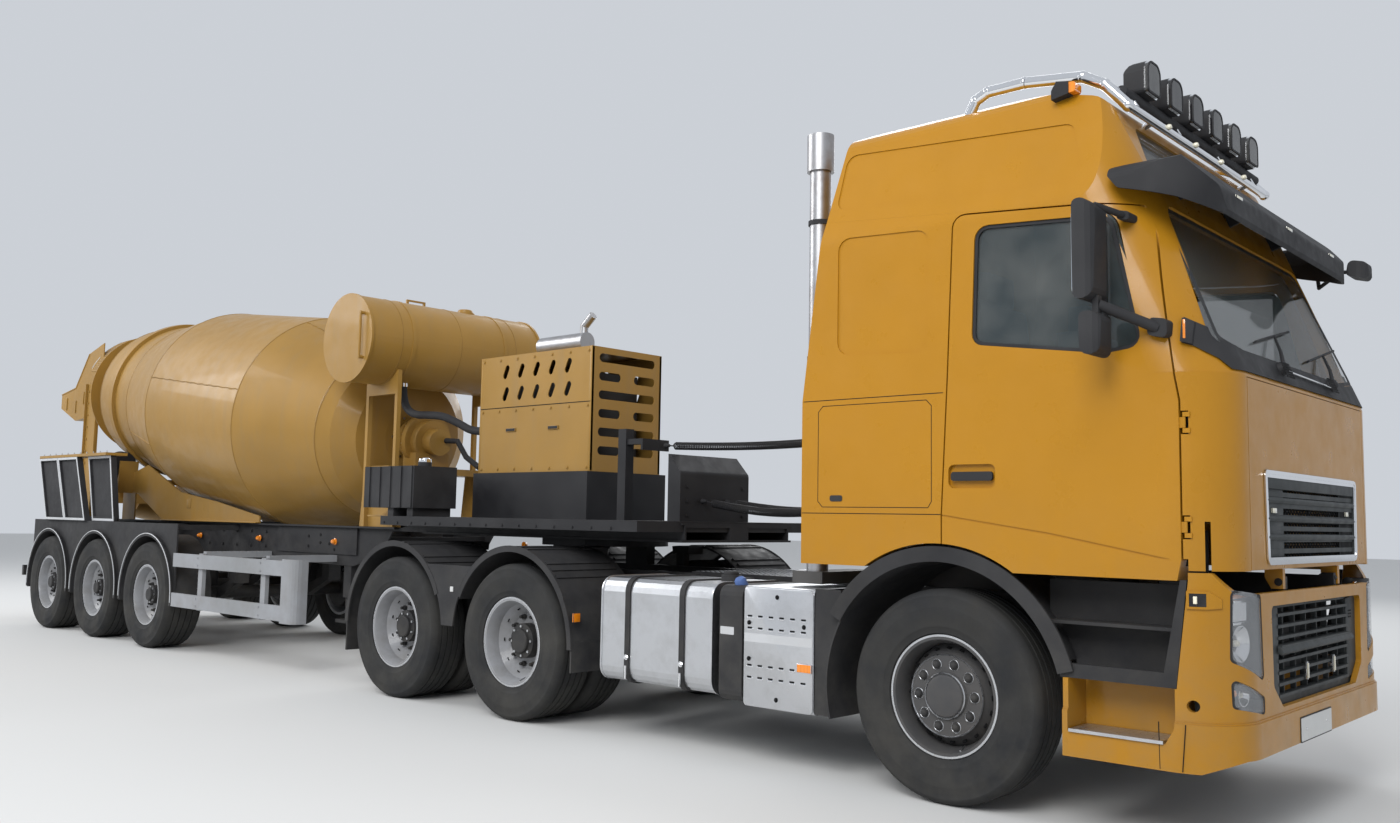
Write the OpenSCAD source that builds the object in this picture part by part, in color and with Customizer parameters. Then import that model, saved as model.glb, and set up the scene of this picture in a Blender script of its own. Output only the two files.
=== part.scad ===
// Articulated concrete mixer: a three-axle sleeper tractor and the three-axle semi-trailer
// that carries the mixing drum. X runs forward, Y to the left, Z up, in millimetres.
// Inside the modules x = 0 is the front axle. The whole is shifted at the end.

/* [Reach] */
// From the front axle to the face of the bumper
front_reach = 1420; // [1400:5:1460]
// From the front axle back to the lip of the charging hopper
rear_reach = 13600; // [13560:10:13700]

/* [Wheels] */
// Outer radius of every tyre
tyre_r = 525; // [515:1:530]
// Radius of the seat of the tyre on the rim
bead_r = 286; // [284:1:288]
// Radius of the edge of the rim
rim_edge_r = 302; // [300:1:304]
// Width of a tractor tyre
tyre_w = 315; // [300:1:318]
// Width of a trailer tyre
wide_tyre_w = 385; // [370:1:390]
// Outside of the rims of the steered wheels, from the middle of the vehicle
steer_track = 1170; // [1165:1:1175]
// Outside of the rims of the driven wheels
drive_track = 1225; // [1220:1:1235]
// Outside of the rims of the trailer wheels
trail_track = 1245; // [1235:1:1250]
// Distance between the two tyres of a twin wheel, middle to middle
twin_pitch = 342; // [336:1:348]
// Radius of the spindles in the hubs
spindle_r = 45; // [40:1:48]

/* [Axles] */
// First driven axle behind the front axle
drive_first = 3300; // [3280:5:3320]
// Distance between the driven axles
drive_pitch = 1390; // [1380:5:1400]
// First trailer axle behind the front axle
trail_first = 9080; // [9060:5:9100]
// Distance between trailer axles
trail_pitch = 1335; // [1330:5:1340]
// Kingpins of the steered wheels, from the middle
swivel_y = 880; // [876:1:884]

/* [Coupling] */
// Kingpin of the trailer behind the front axle
kingpin_back = 3700; // [3680:5:3740]
// Radius of the kingpin
kingpin_r = 25.4; // [25:0.1:26]
// Height of the sliding plate of the trailer
coupling_z = 1215; // [1212:1:1225]

/* [Tractor frame] */
// Height of the top of the rails
rail_top = 1010; // [1005:1:1020]
// Height of a rail
rail_h = 270; // [260:1:280]
// Outside of the rails from the middle
rail_y = 430; // [425:1:435]
// Width of a rail's flanges
flange_w = 75; // [65:1:85]
// Thickness of the rail's sheet
rail_t = 10; // [8:1:12]

/* [Cab] */
// Half the width of the cab
cab_half = 1245; // [1240:1:1250]
// Thickness of the cab's walls and doors
cab_wall = 60; // [55:1:65]
// Radius of the cab's front corners in plan
corner_r = 290; // [280:5:300]
// Height of the cab's tilt axis
tilt_z = 1130; // [1125:1:1135]
// Distance of the tilt axis ahead of the front axle
tilt_x = 1360; // [1356:1:1364]
// Height of the crease under the windscreen
screen_foot_z = 2045; // [2030:5:2060]
// Top face of the cab's floor
floor_top = 1440; // [1430:5:1460]
// Gap between cab panels that move apart
panel_gap = 8; // [6:1:10]

/* [Trailer] */
// Height of the top of the trailer's main beams at the back
beam_top = 1255; // [1250:1:1265]
// Outside of the main beams from the middle
beam_y = 560; // [550:5:570]
// Top of the deck over the coupling
deck_top = 1345; // [1335:1:1360]
// Half the width of the trailer at its side guards
guard_y = 1275; // [1270:1:1275]

/* [Drum] */
// Tilt of the drum's axis
drum_tilt = 7.3; // [7:0.1:7.6]
// Front rim of the drum behind the front axle
drum_front = 6742; // [6720:5:6760]
// Height of the middle of the front rim
drum_z = 2133; // [2120:1:2150]
// Largest radius of the drum
drum_r = 1088; // [1080:1:1090]
// Thickness of the drum's shell
drum_t = 12; // [10:1:14]
// Place of the roller track along the axis
track_s = 4400; // [4380:5:4420]
// Radius of the roller track
track_r = 930; // [925:1:935]
// Radius of the rollers
roller_r = 140; // [130:1:145]

/* [Water tank and engine cover] */
// Radius of the water tank
tank_r = 382; // [375:1:385]
// Half the length of the water tank
tank_half = 936; // [920:1:940]
// Water tank behind the front axle
tank_x = 6036; // [6020:1:6050]
// Height of the middle of the water tank
tank_z = 2891; // [2885:1:2900]
// Front of the engine cover behind the front axle
cover_front = 3494; // [3480:1:3510]
// Length of the engine cover
cover_l = 1364; // [1350:1:1380]
// Half the width of the engine cover
cover_half = 375; // [366:1:385]
// Underside of the engine cover
cover_z = 1719; // [1715:1:1725]
// Top of the engine cover
cover_top = 2673; // [2660:1:2680]
// Thickness of its sheet
cover_t = 8; // [6:1:10]

/* [Hidden] */
$fn = 48;
// Running clearance of a pin in its bore, and of a piece on its seat
fit = 0.3;
axle_z = tyre_r;
rail_bottom = rail_top - rail_h;
shift = (rear_reach - front_reach) / 2;
drive_x = [for (i = [0, 1]) -drive_first - i * drive_pitch];
trail_x = [for (i = [0 : 2]) -trail_first - i * trail_pitch];
kingpin_x = -kingpin_back;

yellow = [0.93, 0.62, 0.10];
black = [0.11, 0.11, 0.12];
grey = [0.55, 0.56, 0.58];
steel = [0.72, 0.73, 0.75];
rubber = [0.07, 0.07, 0.07];
glass = [0.35, 0.42, 0.45];

// Wheel kinds: rim width, tyre width, depth of the disc's hub face and of its edge,
// outer end and radius of the hub, start, end and radius of the brake drum
RIM = 0; TYRE = 1; DISC = 2; EDGE = 3; HUB0 = 4; HUB_R = 5; DRUM0 = 6; DRUM1 = 7; HUB1 = 8;
steer_wheel = [262, tyre_w, 38, 112, 8, 118, 90, 220, 222];
drive_wheel = [262, tyre_w, 165, 92, 62, 118, 330, 560, 562];
trail_wheel = [324, wide_tyre_w, 128, 80, 20, 92, 170, 340, 342];
disc_t = 14;
brake_r = 205;
hand_holes = 10;

// Heights of the two leads to the trailer
lead_z = [1900, 1500];

// Points of an outline whose rows are [x, y, corner radius], each corner with its arc
function unit(v) = v / norm(v);
function turn(a) = a - 360 * floor((a + 180) / 360);
function corner(a, b, c, n) =
    let (u = unit([a[0] - b[0], a[1] - b[1]]), w = unit([c[0] - b[0], c[1] - b[1]]),
        half = acos(u * w) / 2, p = [b[0], b[1]], o = p + unit(u + w) * b[2] / sin(half),
        t0 = p + u * b[2] / tan(half) - o, t1 = p + w * b[2] / tan(half) - o,
        a0 = atan2(t0[1], t0[0]), da = turn(atan2(t1[1], t1[0]) - a0))
    [for (i = [0 : n]) o + b[2] * [cos(a0 + da * i / n), sin(a0 + da * i / n)]];
function rounded(rows, n = 4) = [for (i = [0 : len(rows) - 1])
    let (a = rows[(i + len(rows) - 1) % len(rows)], b = rows[i], c = rows[(i + 1) % len(rows)])
    each b[2] > 0 ? corner(a, b, c, n) : [[b[0], b[1]]]];
// The same rows moved inwards by d, for an outline that runs anticlockwise
function left_of(a, b) = unit([a[1] - b[1], b[0] - a[0]]);
function inset(rows, d) = [for (i = [0 : len(rows) - 1])
    let (a = rows[(i + len(rows) - 1) % len(rows)], b = rows[i], c = rows[(i + 1) % len(rows)],
        m = left_of(a, b), n = left_of(b, c), s = d / (1 + m * n))
    [b[0] + (m[0] + n[0]) * s, b[1] + (m[1] + n[1]) * s, b[2] > 0 ? max(b[2] - d, 1) : 0]];

// Small helpers that place shapes
module both_sides() { children(); mirror([0, 1, 0]) children(); }
module span(x, y, z) translate([min(x), min(y), min(z)]) cube([abs(x[1] - x[0]), abs(y[1] - y[0]), abs(z[1] - z[0])]);
module along_y(y) translate([0, y[1], 0]) rotate([90, 0, 0]) linear_extrude(y[1] - y[0]) children();
module along_x(x) translate([x[0], 0, 0]) rotate([90, 0, 90]) linear_extrude(x[1] - x[0]) children();
module rod_y(x, z, r, y) translate([x, y[1], z]) rotate([90, 0, 0]) cylinder(r = r, h = y[1] - y[0]);
module rod_x(y, z, r, x) translate([x[0], y, z]) rotate([0, 90, 0]) cylinder(r = r, h = x[1] - x[0]);
module rod_z(x, y, r, z) translate([x, y, z[0]]) cylinder(r = r, h = z[1] - z[0]);
// A round bar between two points
module bar(a, b, r) {
    d = b - a;
    translate(a) rotate([0, acos(d[2] / norm(d)), atan2(d[1], d[0])]) cylinder(r = r, h = norm(d));
}
// A sector of a ring in x and z
module sector(r0, r1, a0, a1) {
    steps = 8;
    intersection() {
        difference() { circle(r1, $fn = 96); circle(r0, $fn = 96); }
        polygon(concat([[0, 0]], [for (i = [0 : steps])
            let (a = a0 + (a1 - a0) * i / steps) 2 * r1 * [cos(a), sin(a)]]));
    }
}

// Wheels. Each is drawn about its own axis with y = 0 at the outside of its rim
module about_axle() rotate([-90, 0, 0]) children();
module tyre(kind, y_mid) {
    w = kind[TYRE];
    seat = kind[RIM] / 2 - 12 - fit;
    half = [[bead_r + fit, seat], [rim_edge_r + fit, seat], [bead_r + 50, 0.47 * w],
        [bead_r + 125, 0.5 * w], [tyre_r - 45, 0.485 * w], [tyre_r - 12, 0.43 * w],
        [tyre_r, 0.34 * w]];
    about_axle() rotate_extrude() translate([0, y_mid])
        polygon(concat(half, [for (i = [6 : -1 : 0]) [half[i][0], -half[i][1]]]));
}
module rim(kind, y0) {
    w = kind[RIM];
    about_axle() rotate_extrude() translate([0, y0]) polygon([[rim_edge_r, 0], [rim_edge_r, 12],
        [bead_r, 12], [bead_r - 2, 60], [bead_r - 20, 80], [bead_r - 20, w - 80],
        [bead_r - 2, w - 60], [bead_r, w - 12], [rim_edge_r, w - 12], [rim_edge_r, w],
        [bead_r - 14, w], [bead_r - 34, w - 80], [bead_r - 34, 80], [bead_r - 14, 0]]);
}
module disc(kind) {
    about_axle() rotate_extrude() polygon([[60, kind[DISC]], [190, kind[DISC]],
        [262, kind[EDGE]], [262, kind[EDGE] + disc_t], [196, kind[DISC] + disc_t],
        [60, kind[DISC] + disc_t]]);
}
module hub(kind) {
    about_axle() translate([0, 0, kind[HUB0]])
        cylinder(r = kind[HUB_R], h = kind[HUB1] - kind[HUB0]);
    about_axle() translate([0, 0, kind[DRUM0]])
        cylinder(r = brake_r, h = kind[DRUM1] - kind[DRUM0]);
}
module wheel_body(kind, twin) {
    color(grey) difference() {
        union() {
            rim(kind, 0);
            disc(kind);
            hub(kind);
            if (twin) {
                rim(kind, twin_pitch);
                about_axle() translate([0, 0, kind[DISC] + disc_t])
                    difference() {
                        cylinder(r = bead_r - 25, h = twin_pitch - 60);
                        translate([0, 0, 14]) cylinder(r = bead_r - 40, h = twin_pitch);
                    }
            }
        }
        for (i = [0 : hand_holes - 1])
            about_axle() rotate(i * 360 / hand_holes) translate([222, 0, -5])
                cylinder(r = 20, h = kind[DISC] + disc_t + 20);
        // Bore for the spindle
        about_axle() translate([0, 0, kind[HUB0] + 40]) cylinder(r = spindle_r + fit, h = 600);
    }
    color(rubber) tyre(kind, kind[RIM] / 2);
    if (twin) color(rubber) tyre(kind, kind[RIM] / 2 + twin_pitch);
}
module wheel_at(x, track, kind, side, twin = false)
    mirror([0, side > 0 ? 1 : 0, 0]) translate([x, -track, axle_z]) wheel_body(kind, twin);

// Steered axle: the beam ends in a boss that the knuckle clasps
boss_r = 38;
boss_h = 70;
pin_r = 22;
ear_h = 35;
ear_gap = 5;
beam_low = 380;
module front_axle() color(black) difference() {
    union() {
        both_sides() along_x([-45, 45]) polygon([[0, beam_low], [-690, beam_low],
            [-swivel_y, axle_z - 35], [-swivel_y, axle_z + 35], [-700, beam_low + 80],
            [0, beam_low + 80]]);
        both_sides() rod_z(0, -swivel_y, boss_r, [axle_z - boss_h, axle_z + boss_h]);
        both_sides() spring_pack(-400);
    }
    both_sides() rod_z(0, -swivel_y, pin_r + fit, [axle_z - 100, axle_z + 100]);
}
// Leaf springs from the beam up to the hangers below the rails
module spring_pack(y) {
    span([-90, 90], [y - 35, y + 35], [beam_low + 70, beam_low + 150]);
    along_y([y - 35, y + 35]) polygon([[-800, 640], [-400, 545], [0, beam_low + 130],
        [400, 545], [800, 640], [800, 665], [400, 575], [0, beam_low + 165],
        [-400, 575], [-800, 665]]);
    for (x = [-800, 800])
        span([x - 30, x + 30], [y - 30, y + 30], [640, rail_bottom - fit]);
}
module knuckle() color(black) {
    web_y = swivel_y + boss_r + 7;
    for (s = [-1, 1]) {
        z0 = s > 0 ? axle_z + boss_h + ear_gap : axle_z - boss_h - ear_gap - ear_h;
        rod_z(0, -swivel_y, boss_r, [z0, z0 + ear_h]);
        span([-boss_r, boss_r], [-web_y - 13, -swivel_y], [z0, z0 + ear_h]);
    }
    z1 = boss_h + ear_gap + ear_h;
    span([-60, 60], [-web_y - 13, -web_y], [axle_z - z1, axle_z + z1]);
    rod_z(0, -swivel_y, pin_r, [axle_z - boss_h - 20, axle_z + boss_h + 20]);
    rod_y(0, axle_z, spindle_r, [-steer_track + 60, -web_y - 5]);
    span([-190, 0], [-swivel_y - 20, -swivel_y + 20], [axle_z - z1, axle_z - z1 + 26]);
}
module drive_axles() color(black) {
    for (x = drive_x) {
        rod_y(x, axle_z, 72, [-drive_track + drive_wheel[HUB1] + 6, drive_track - drive_wheel[HUB1] - 6]);
        both_sides() rod_y(x, axle_z, spindle_r, [-drive_track + 110, -drive_track + drive_wheel[HUB1] + 10]);
        translate([x, 0, axle_z]) sphere(r = diff_r);
        both_sides() span([x - 60, x + 60], [-420, -340], [axle_z + 60, axle_z + 110]);
    }
    mid = (drive_x[0] + drive_x[1]) / 2;
    both_sides() {
        along_y([-415, -345]) polygon([[drive_x[1] - 60, axle_z + 100], [mid, axle_z + 150],
            [drive_x[0] + 60, axle_z + 100], [drive_x[0] + 60, axle_z + 130],
            [mid, axle_z + 205], [drive_x[1] - 60, axle_z + 130]]);
        span([mid - 130, mid + 130], [-425, -335], [axle_z + 140, rail_bottom - fit]);
    }
}
module trailer_axles() color(black) for (x = trail_x) {
    tube_y = trail_track - trail_wheel[HUB1] - 6;
    rod_y(x, axle_z, 65, [-tube_y, tube_y]);
    both_sides() {
        rod_y(x, axle_z, spindle_r, [-trail_track + 66, -tube_y + 4]);
        along_y([-540, -460]) polygon([[x - 330, axle_z - 40], [x + 80, axle_z - 60],
            [x + 520, axle_z + 130], [x + 520, axle_z + 200], [x + 80, axle_z + 60],
            [x - 330, axle_z + 30]]);
        span([x + 420, x + 560], [-590, -450], [axle_z + 120, beam_under(x + 560) - fit]);
        rod_z(x - 260, -500, 110, [axle_z + 20, beam_under(x - 150) - fit]);
    }
}

// Tractor frame: two channel rails, cross members, the catwalk behind the cab and the
// brackets that carry the cab's tilt axis
frame_front = 1180;
frame_back = -5260;
module channel(x, z, h) {
    span(x, [-rail_y, -rail_y + rail_t], z);
    for (z0 = [z[0], z[1] - rail_t])
        span(x, [-rail_y, -rail_y + flange_w], [z0, z0 + rail_t]);
}
diff_r = 215;
stack_x = -990;
stack_y = 880;
cross_x = [1100, -1500, -2500, -3995, -5230];
module tractor_frame() color(black) {
    difference() {
        union() {
            both_sides() channel([frame_back, frame_front], [rail_bottom, rail_top], rail_h);
            for (x = cross_x)
                span([x - 30, x + 30], [-rail_y + 2, rail_y - 2], [rail_bottom + 60, rail_top - 40]);
            // Front cross member with the towing lugs
            span([1180, 1260], [-620, 620], [rail_bottom - 60, rail_top - 120]);
            both_sides() span([1180, 1335], [-620, -540], [rail_bottom - 60, rail_bottom - 30]);
            // Underrun beam that carries the bumper
            span([1200, 1260], [-1100, 1100], [440, 560]);
            both_sides() span([1205, 1255], [-rail_y - 60, -rail_y + 60], [550, rail_bottom - 50]);
            // Rear mounts of the cab
            both_sides() span([-760, -680], [-rail_y + 5, -rail_y + 65], [rail_top - 5, floor_top - 40 - fit]);
            // Arms up to the tilt axis
            both_sides() along_y([-rail_y, -rail_y + 40]) polygon([[1100, rail_top - 150],
                [1300, rail_top - 150], [1322, tilt_z - 60], [tilt_x + 14, tilt_z - 35], [tilt_x + 14, tilt_z + 24],
                [tilt_x - 40, tilt_z + 24], [1100, rail_top]]);
            both_sides() rod_y(tilt_x, tilt_z, 18, [-rail_y - 46, -rail_y + 20]);
            // Catwalk behind the cab
            span([-2380, -1080], [-rail_y, rail_y], [rail_top - 2, rail_top + 12]);
            // Post that carries the leads behind the cab
            span([-1060, -1010], [-300, 300], [rail_top - 40, rail_top + 20]);
            span([-1060, -1030], [-40, 40], [rail_top, 1920]);
            for (z = lead_z) span([-1060, -1030], [-260, 260], [z - 40, z + 40]);
            // Rear cross member
            span([frame_back - 40, frame_back + 10], [-rail_y, rail_y], [rail_bottom, rail_top]);
            span([frame_back - 112, frame_back - 92], [-1150, 1150], [720, 820]);
            both_sides() span([frame_back - 95, frame_back - 35], [-350, -250], [740, 800]);
        }
        both_sides() rod_z(1300, -580, 20, [rail_bottom - 100, rail_bottom]);
    }
}
// Engine and gearbox as plain blocks, with the radiator, the shafts and the exhaust stack
module powertrain() color(black) {
    span([-620, 620], [-330, 330], [560, 1330]);
    both_sides() for (x = [-400, 400])
        span([x - 60, x + 60], [-rail_y + rail_t + fit, -325], [rail_bottom + rail_t + fit, rail_bottom + 70]);
    // Radiator on its pipe
    span([660, 760], [-355, 355], [700, 1360]);
    rod_x(0, 900, 30, [619, 661]);
    // Gearbox and the shafts to the two axles
    span([-1400, -619], [-220, 220], [560, 960]);
    shaft = [drive_x[0], 0, axle_z] - [-1395, 0, 700];
    bar([-1395, 0, 700], [-1395, 0, 700] + shaft * (1 - (diff_r + 1) / norm(shaft)), 50);
    rod_x(0, axle_z, 50, [drive_x[1] + diff_r + fit, drive_x[0] - diff_r - fit]);
    // Exhaust stack on its bracket
    color(grey) rod_z(stack_x, -stack_y, 62, [rail_top + 60, 3421]);
    span([stack_x - 110, stack_x + 100], [-stack_y - 90, -400], [rail_top + 12 + fit, rail_top + 80]);
    rod_z(stack_x, -stack_y, 80, [3420, 3640]);
}
module fifth_wheel() color(black) {
    difference() {
        union() {
            intersection() {
                translate([kingpin_x, 0, coupling_z - 55 - fit]) cylinder(r = 490, h = 55, $fn = 96);
                span([kingpin_x - 520, kingpin_x + 520], [-430, 430], [0, 2000]);
            }
            both_sides() span([kingpin_x - 120, kingpin_x + 120], [-rail_y, -rail_y + 90],
                [rail_top + fit, coupling_z - 55]);
        }
        rod_z(kingpin_x, 0, kingpin_r + 0.6, [0, 2000]);
        linear_extrude(3000) polygon([[kingpin_x, -kingpin_r - 0.6], [kingpin_x, kingpin_r + 0.6],
            [kingpin_x - 180, kingpin_r + 10], [kingpin_x - 520, 190], [kingpin_x - 520, -190],
            [kingpin_x - 180, -kingpin_r - 10]]);
    }
}
// Mudguards over the driven wheels, with a flat flap behind the last
guard_r = 640;
module drive_mudguards() color(black) both_sides() {
    for (i = [0, 1]) translate([drive_x[i], 0, axle_z]) {
        along_y([-drive_track - 25, -600]) sector(guard_r - 14, guard_r, i == 0 ? 4 : 24, i == 0 ? 156 : 176);
        // Stay to the frame
        along_y([-600, -rail_y - fit]) sector(guard_r - 60, guard_r, 82, 98);
    }
    // Side lips, raised ribs on top and the skirt between the wheels
    for (i = [0, 1]) translate([drive_x[i], 0, axle_z]) {
        along_y([-drive_track - 37, -drive_track - 23]) sector(guard_r - 34, guard_r + 4, i == 0 ? 0 : 26, i == 0 ? 154 : 180);
        for (a = [44, 50, 56, 76, 82, 98, 104, 124, 130, 136])
            along_y([-drive_track - 10, -660]) sector(guard_r - 2, guard_r + 9, a, a + 2.4);
    }
    difference() {
        span([drive_x[1] + 330, drive_x[0] - 330], [-drive_track - 33, -drive_track - 21], [axle_z + 60, axle_z + guard_r - 150]);
        for (x = drive_x) translate([x, 0, axle_z]) rotate([90, 0, 0]) cylinder(r = guard_r - 10, h = 3000, center = true, $fn = 96);
    }
    span([drive_x[0] + guard_r - 14, drive_x[0] + guard_r], [-drive_track - 25, -600], [380, axle_z + 50]);
    span([drive_x[1] - guard_r, drive_x[1] - guard_r + 14], [-drive_track - 25, -600], [300, axle_z + 50]);
    for (i = [0, 1]) translate([drive_x[i], 0, axle_z])
        span([-40, 40], [-rail_y - 60, -rail_y - fit], [rail_top - 200 - axle_z, guard_r - 20]);
}
// Liners of the front arches, fixed to the tractor
arch_r = 672;
arch_lip_r = 736;
module front_arches() color(black) both_sides() {
    translate([0, 0, axle_z]) {
        along_y([-cab_half + 12, -640]) sector(arch_r - 12, arch_r, 20, 196);
        along_y([-cab_half, -cab_half + 14]) sector(arch_r - 12, arch_lip_r, 15.5, 150);
        for (a = [28, 140]) along_y([-641, -rail_y - fit]) sector(arch_r - 12, arch_r, a, a + 12);
    }
    // Strip round the foot of the door
    along_y([-cab_half + 19, -cab_half + 55]) polygon([[640, step_z[1] + 7 + fit], [1163, step_z[1] + 7 + fit],
        [1214, 1140], [1214, 1150], [1187, 1150], [1111, 753], [636, 753]]);
    // Upper steps behind the door, on a wall that joins the liner
    difference() {
        union() {
            span([500, 1165], [-step_in + 22, -step_in + 37], [step_z[1] + 12, 1120]);
            span([560, 1160], [-cab_half + 72, -step_in + 30], [925, 940]);
            span([700, 1160], [-cab_half + 60, -step_in + 30], [step_z[1] + 12, step_z[1] + 26]);
        }
        arch_cut(arch_r - 6);
    }
    // Panel behind the wheel
    difference() {
        span([-768, -600], [-1195, -1180], [345, 1010]);
        arch_cut(arch_r - 6);
    }
}

// Bumper: a wall that follows the cab's plan, with the lowest steps behind its corners
bumper_t = 40;
bumper_low = 400;
step_back = 659;
// The lip below this height stands out from the wall above it
lip_top = 548;
lip_out = 12;
// Outlines in y and z of the lamps of one side
head_rows = [[865, 712, 25], [1127, 812, 25], [1120, 1114, 25], [885, 1088, 25]];
fog_rows = [[861, 572, 20], [1121, 618, 20], [1125, 742, 20], [864, 648, 20]];
corner_x = [1224, 1286];
corner_z = [1040, 1096];
lamp_t = 5;
module bumper_plan(d) {
    front = front_reach - d;
    half = cab_half + 5 - d;
    r = corner_r - d;
    translate([step_back, -half]) square([front - r - step_back, 2 * half]);
    translate([step_back, -half + r]) square([front - step_back, 2 * half - 2 * r]);
    for (s = [-1, 1]) translate([front - r, s * (half - r)]) circle(r, $fn = 96);
}
// A sheet between two distances inside the bumper's outline
module bumper_band(d, z) translate([0, 0, z[0]]) linear_extrude(z[1] - z[0]) difference() {
    bumper_plan(d[0]);
    for (x = [0, -1]) translate([x, 0]) bumper_plan(d[1]);
}
module lamp_prism(rows, d) both_sides() along_x([1150, 1500]) polygon(rounded(inset(rows, d)));
module bumper() {
    color(yellow) {
        bumper_wall();
        both_sides() span([1260 + fit, front_reach - bumper_t + 5], [-960, -880], [460, 540]);
        both_sides() step_box();
    }
    color(steel) both_sides() step_tread(step_x[0] + 8, step_x[1] - 45, -cab_half - 15, step_z[0] + fit);
    // Lamps: a thin lens and its housing behind it
    for (rows = [head_rows, fog_rows]) {
        color(glass) intersection() {
            bumper_band([lip_out + 4, lip_out + 4 + lamp_t], [560, 1130]);
            lamp_prism(rows, fit);
        }
        color(black) difference() {
            intersection() {
                bumper_band([lip_out + 4 + lamp_t + fit, bumper_t + 60], [560, 1130]);
                lamp_prism(rows, fit);
            }
            intersection() {
                bumper_band([0, bumper_t + 52], [500, 1200]);
                lamp_prism(rows, 12);
            }
        }
    }
    color(black) both_sides() intersection() {
        bumper_band([lip_out - 6, lip_out + 14 - fit], [corner_z[0] + fit, corner_z[1] - fit]);
        span([corner_x[0] + fit, corner_x[1] - fit], [-1300, -1100], [1000, 1200]);
    }
}
module bumper_wall() difference() {
    union() {
        bumper_band([0, bumper_t], [bumper_low - 54, lip_top]);
        bumper_band([lip_out / 2, bumper_t], [lip_top - 1, lip_top + 8]);
        bumper_band([lip_out, bumper_t], [lip_top + 7, 1182]);
        // Raised pad of the corner lamp
        both_sides() intersection() {
            bumper_band([lip_out - 8, lip_out + 5], [1020, 1110]);
            along_y([-1300, -1100]) polygon([[1214, 1030], [1290, 1030], [1336, 1036], [1336, 1072], [1296, 1104], [1214, 1106]]);
        }
    }
    // Top edge: low across the front, high at the corners
    along_y([-2000, 2000]) polygon([[1300, 1183], [1370, 1092], [1600, 1092], [1600, 1300], [1300, 1300]]);
    // Underside rises from the corners to the front
    along_y([-2000, 2000]) polygon([[1100, 300], [1260, 346], [1400, bumper_low], [1600, bumper_low], [1600, 300]]);
    // Sides: only the step panel reaches back
    along_y([-2000, 2000]) polygon([[0, step_z[1] + 7], [1168, step_z[1] + 7], [1220, 1150], [1220, 2000], [0, 2000]]);
    both_sides() step_pocket(-2000);
    both_sides() rod_y(1230, 624, 25, [-1300, -1150]);
    // Grille and lamps
    along_x([1000, 2000]) polygon(rounded([[-610, 580, 30], [610, 580, 30], [735, 680, 30], [745, 1033, 30],
        [-745, 1033, 30], [-735, 680, 30]]));
    for (rows = [head_rows, fog_rows]) lamp_prism(rows, 0);
    both_sides() intersection() {
        bumper_band([-5, lip_out + 14], corner_z);
        span(corner_x, [-1300, -1100], [1000, 1200]);
    }
}
// Pocket of the lowest step and its tread
step_x = [684, 1160];
step_z = [456, 683];
step_in = 1052;
module step_pocket(y0) along_y([y0, -step_in]) polygon(rounded([[step_x[0], step_z[0], 8],
    [step_x[1] - 40, step_z[0], 8], [step_x[1], step_z[0] + 70, 40], [step_x[1], step_z[1] + 40, 0],
    [step_x[0], step_z[1] + 40, 0]]));
module step_box() difference() {
    span([step_x[0] - 25, step_x[1] + 12], [-cab_half + 30, -step_in + 12], [step_z[0] - 16, step_z[1] + 7]);
    step_pocket(-2000);
}
module step_tread(x0, x1, y0, z) difference() {
    span([x0, x1], [y0, -step_in - 8], [z, z + 14]);
    for (i = [0 : 4]) span([x0 + 15, x1 - 15], [y0 + 18 + i * 36, y0 + 28 + i * 36], [z + 8, z + 20]);
}
module lower_grille() color(black) {
    difference() {
        along_x([1340, 1372]) polygon([[-640, 560], [640, 560], [765, 670], [775, 1060], [-775, 1060], [-765, 670]]);
        along_x([1330, 1380]) polygon([[-560, 606], [560, 606], [560, 1015], [-560, 1015]]);
    }
    for (i = [0 : 7]) span([1345, i == 4 ? 1400 : 1385], [-580, 580], [612 + i * 52, 626 + i * 52 + (i == 4 ? 14 : 0)]);
    for (i = [0 : 5]) span([1342, 1366], [-455 + i * 180, -445 + i * 180], [600, 1020]);
    // Stays to the front cross member
    both_sides() span([1260 + fit, 1342], [-650, -590], [720, 860]);
}

// Tanks and boxes along the tractor
module straps(x, y, z, r) for (xx = x)
    along_x([xx - 20, xx + 20]) difference() {
        polygon(rounded([[y[0] - 8, z[0] - 8, r], [y[1], z[0] - 8, 0], [y[1], z[1] + 8, 0], [y[0] - 8, z[1] + 8, r]]));
        polygon(rounded([[y[0], z[0], r], [y[1] + 1, z[0], 0], [y[1] + 1, z[1], 0], [y[0], z[1], r]]));
    }
module fuel_tanks() both_sides() {
    color(steel) along_x([-2440, -1500])
        polygon(rounded([[-1200, 363, 90], [-560, 363, 60], [-560, 1005, 60], [-1200, 1005, 90]]));
    color(black) {
        for (x = [-2250, -1700])
            span([x - 40, x + 40], [-560 + fit, -rail_y - fit], [480, 900]);
        straps([-2200, -1740], [-1200 - fit, -562], [363 - fit, 1005 + fit], 90);
        rod_z(-1620, -900, 62, [1005 + fit, 1040]);
    }
}
module service_boxes() {
    both_sides() {
        color(black) along_x([-1456, -1285])
            polygon(rounded([[-1190, 345, 60], [-560, 345, 40], [-560, 1000, 40], [-1190, 1000, 60]]));
        color(steel) along_x([-1265, -775])
            polygon(rounded([[-1195, 335, 30], [-560, 335, 20], [-560, 1003, 20], [-1195, 1003, 30]]));
        color(black) for (x = [-1370, -1020])
            span([x - 50, x + 50], [-560 + fit, -rail_y - fit], [600, 900]);
    }
}

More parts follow.
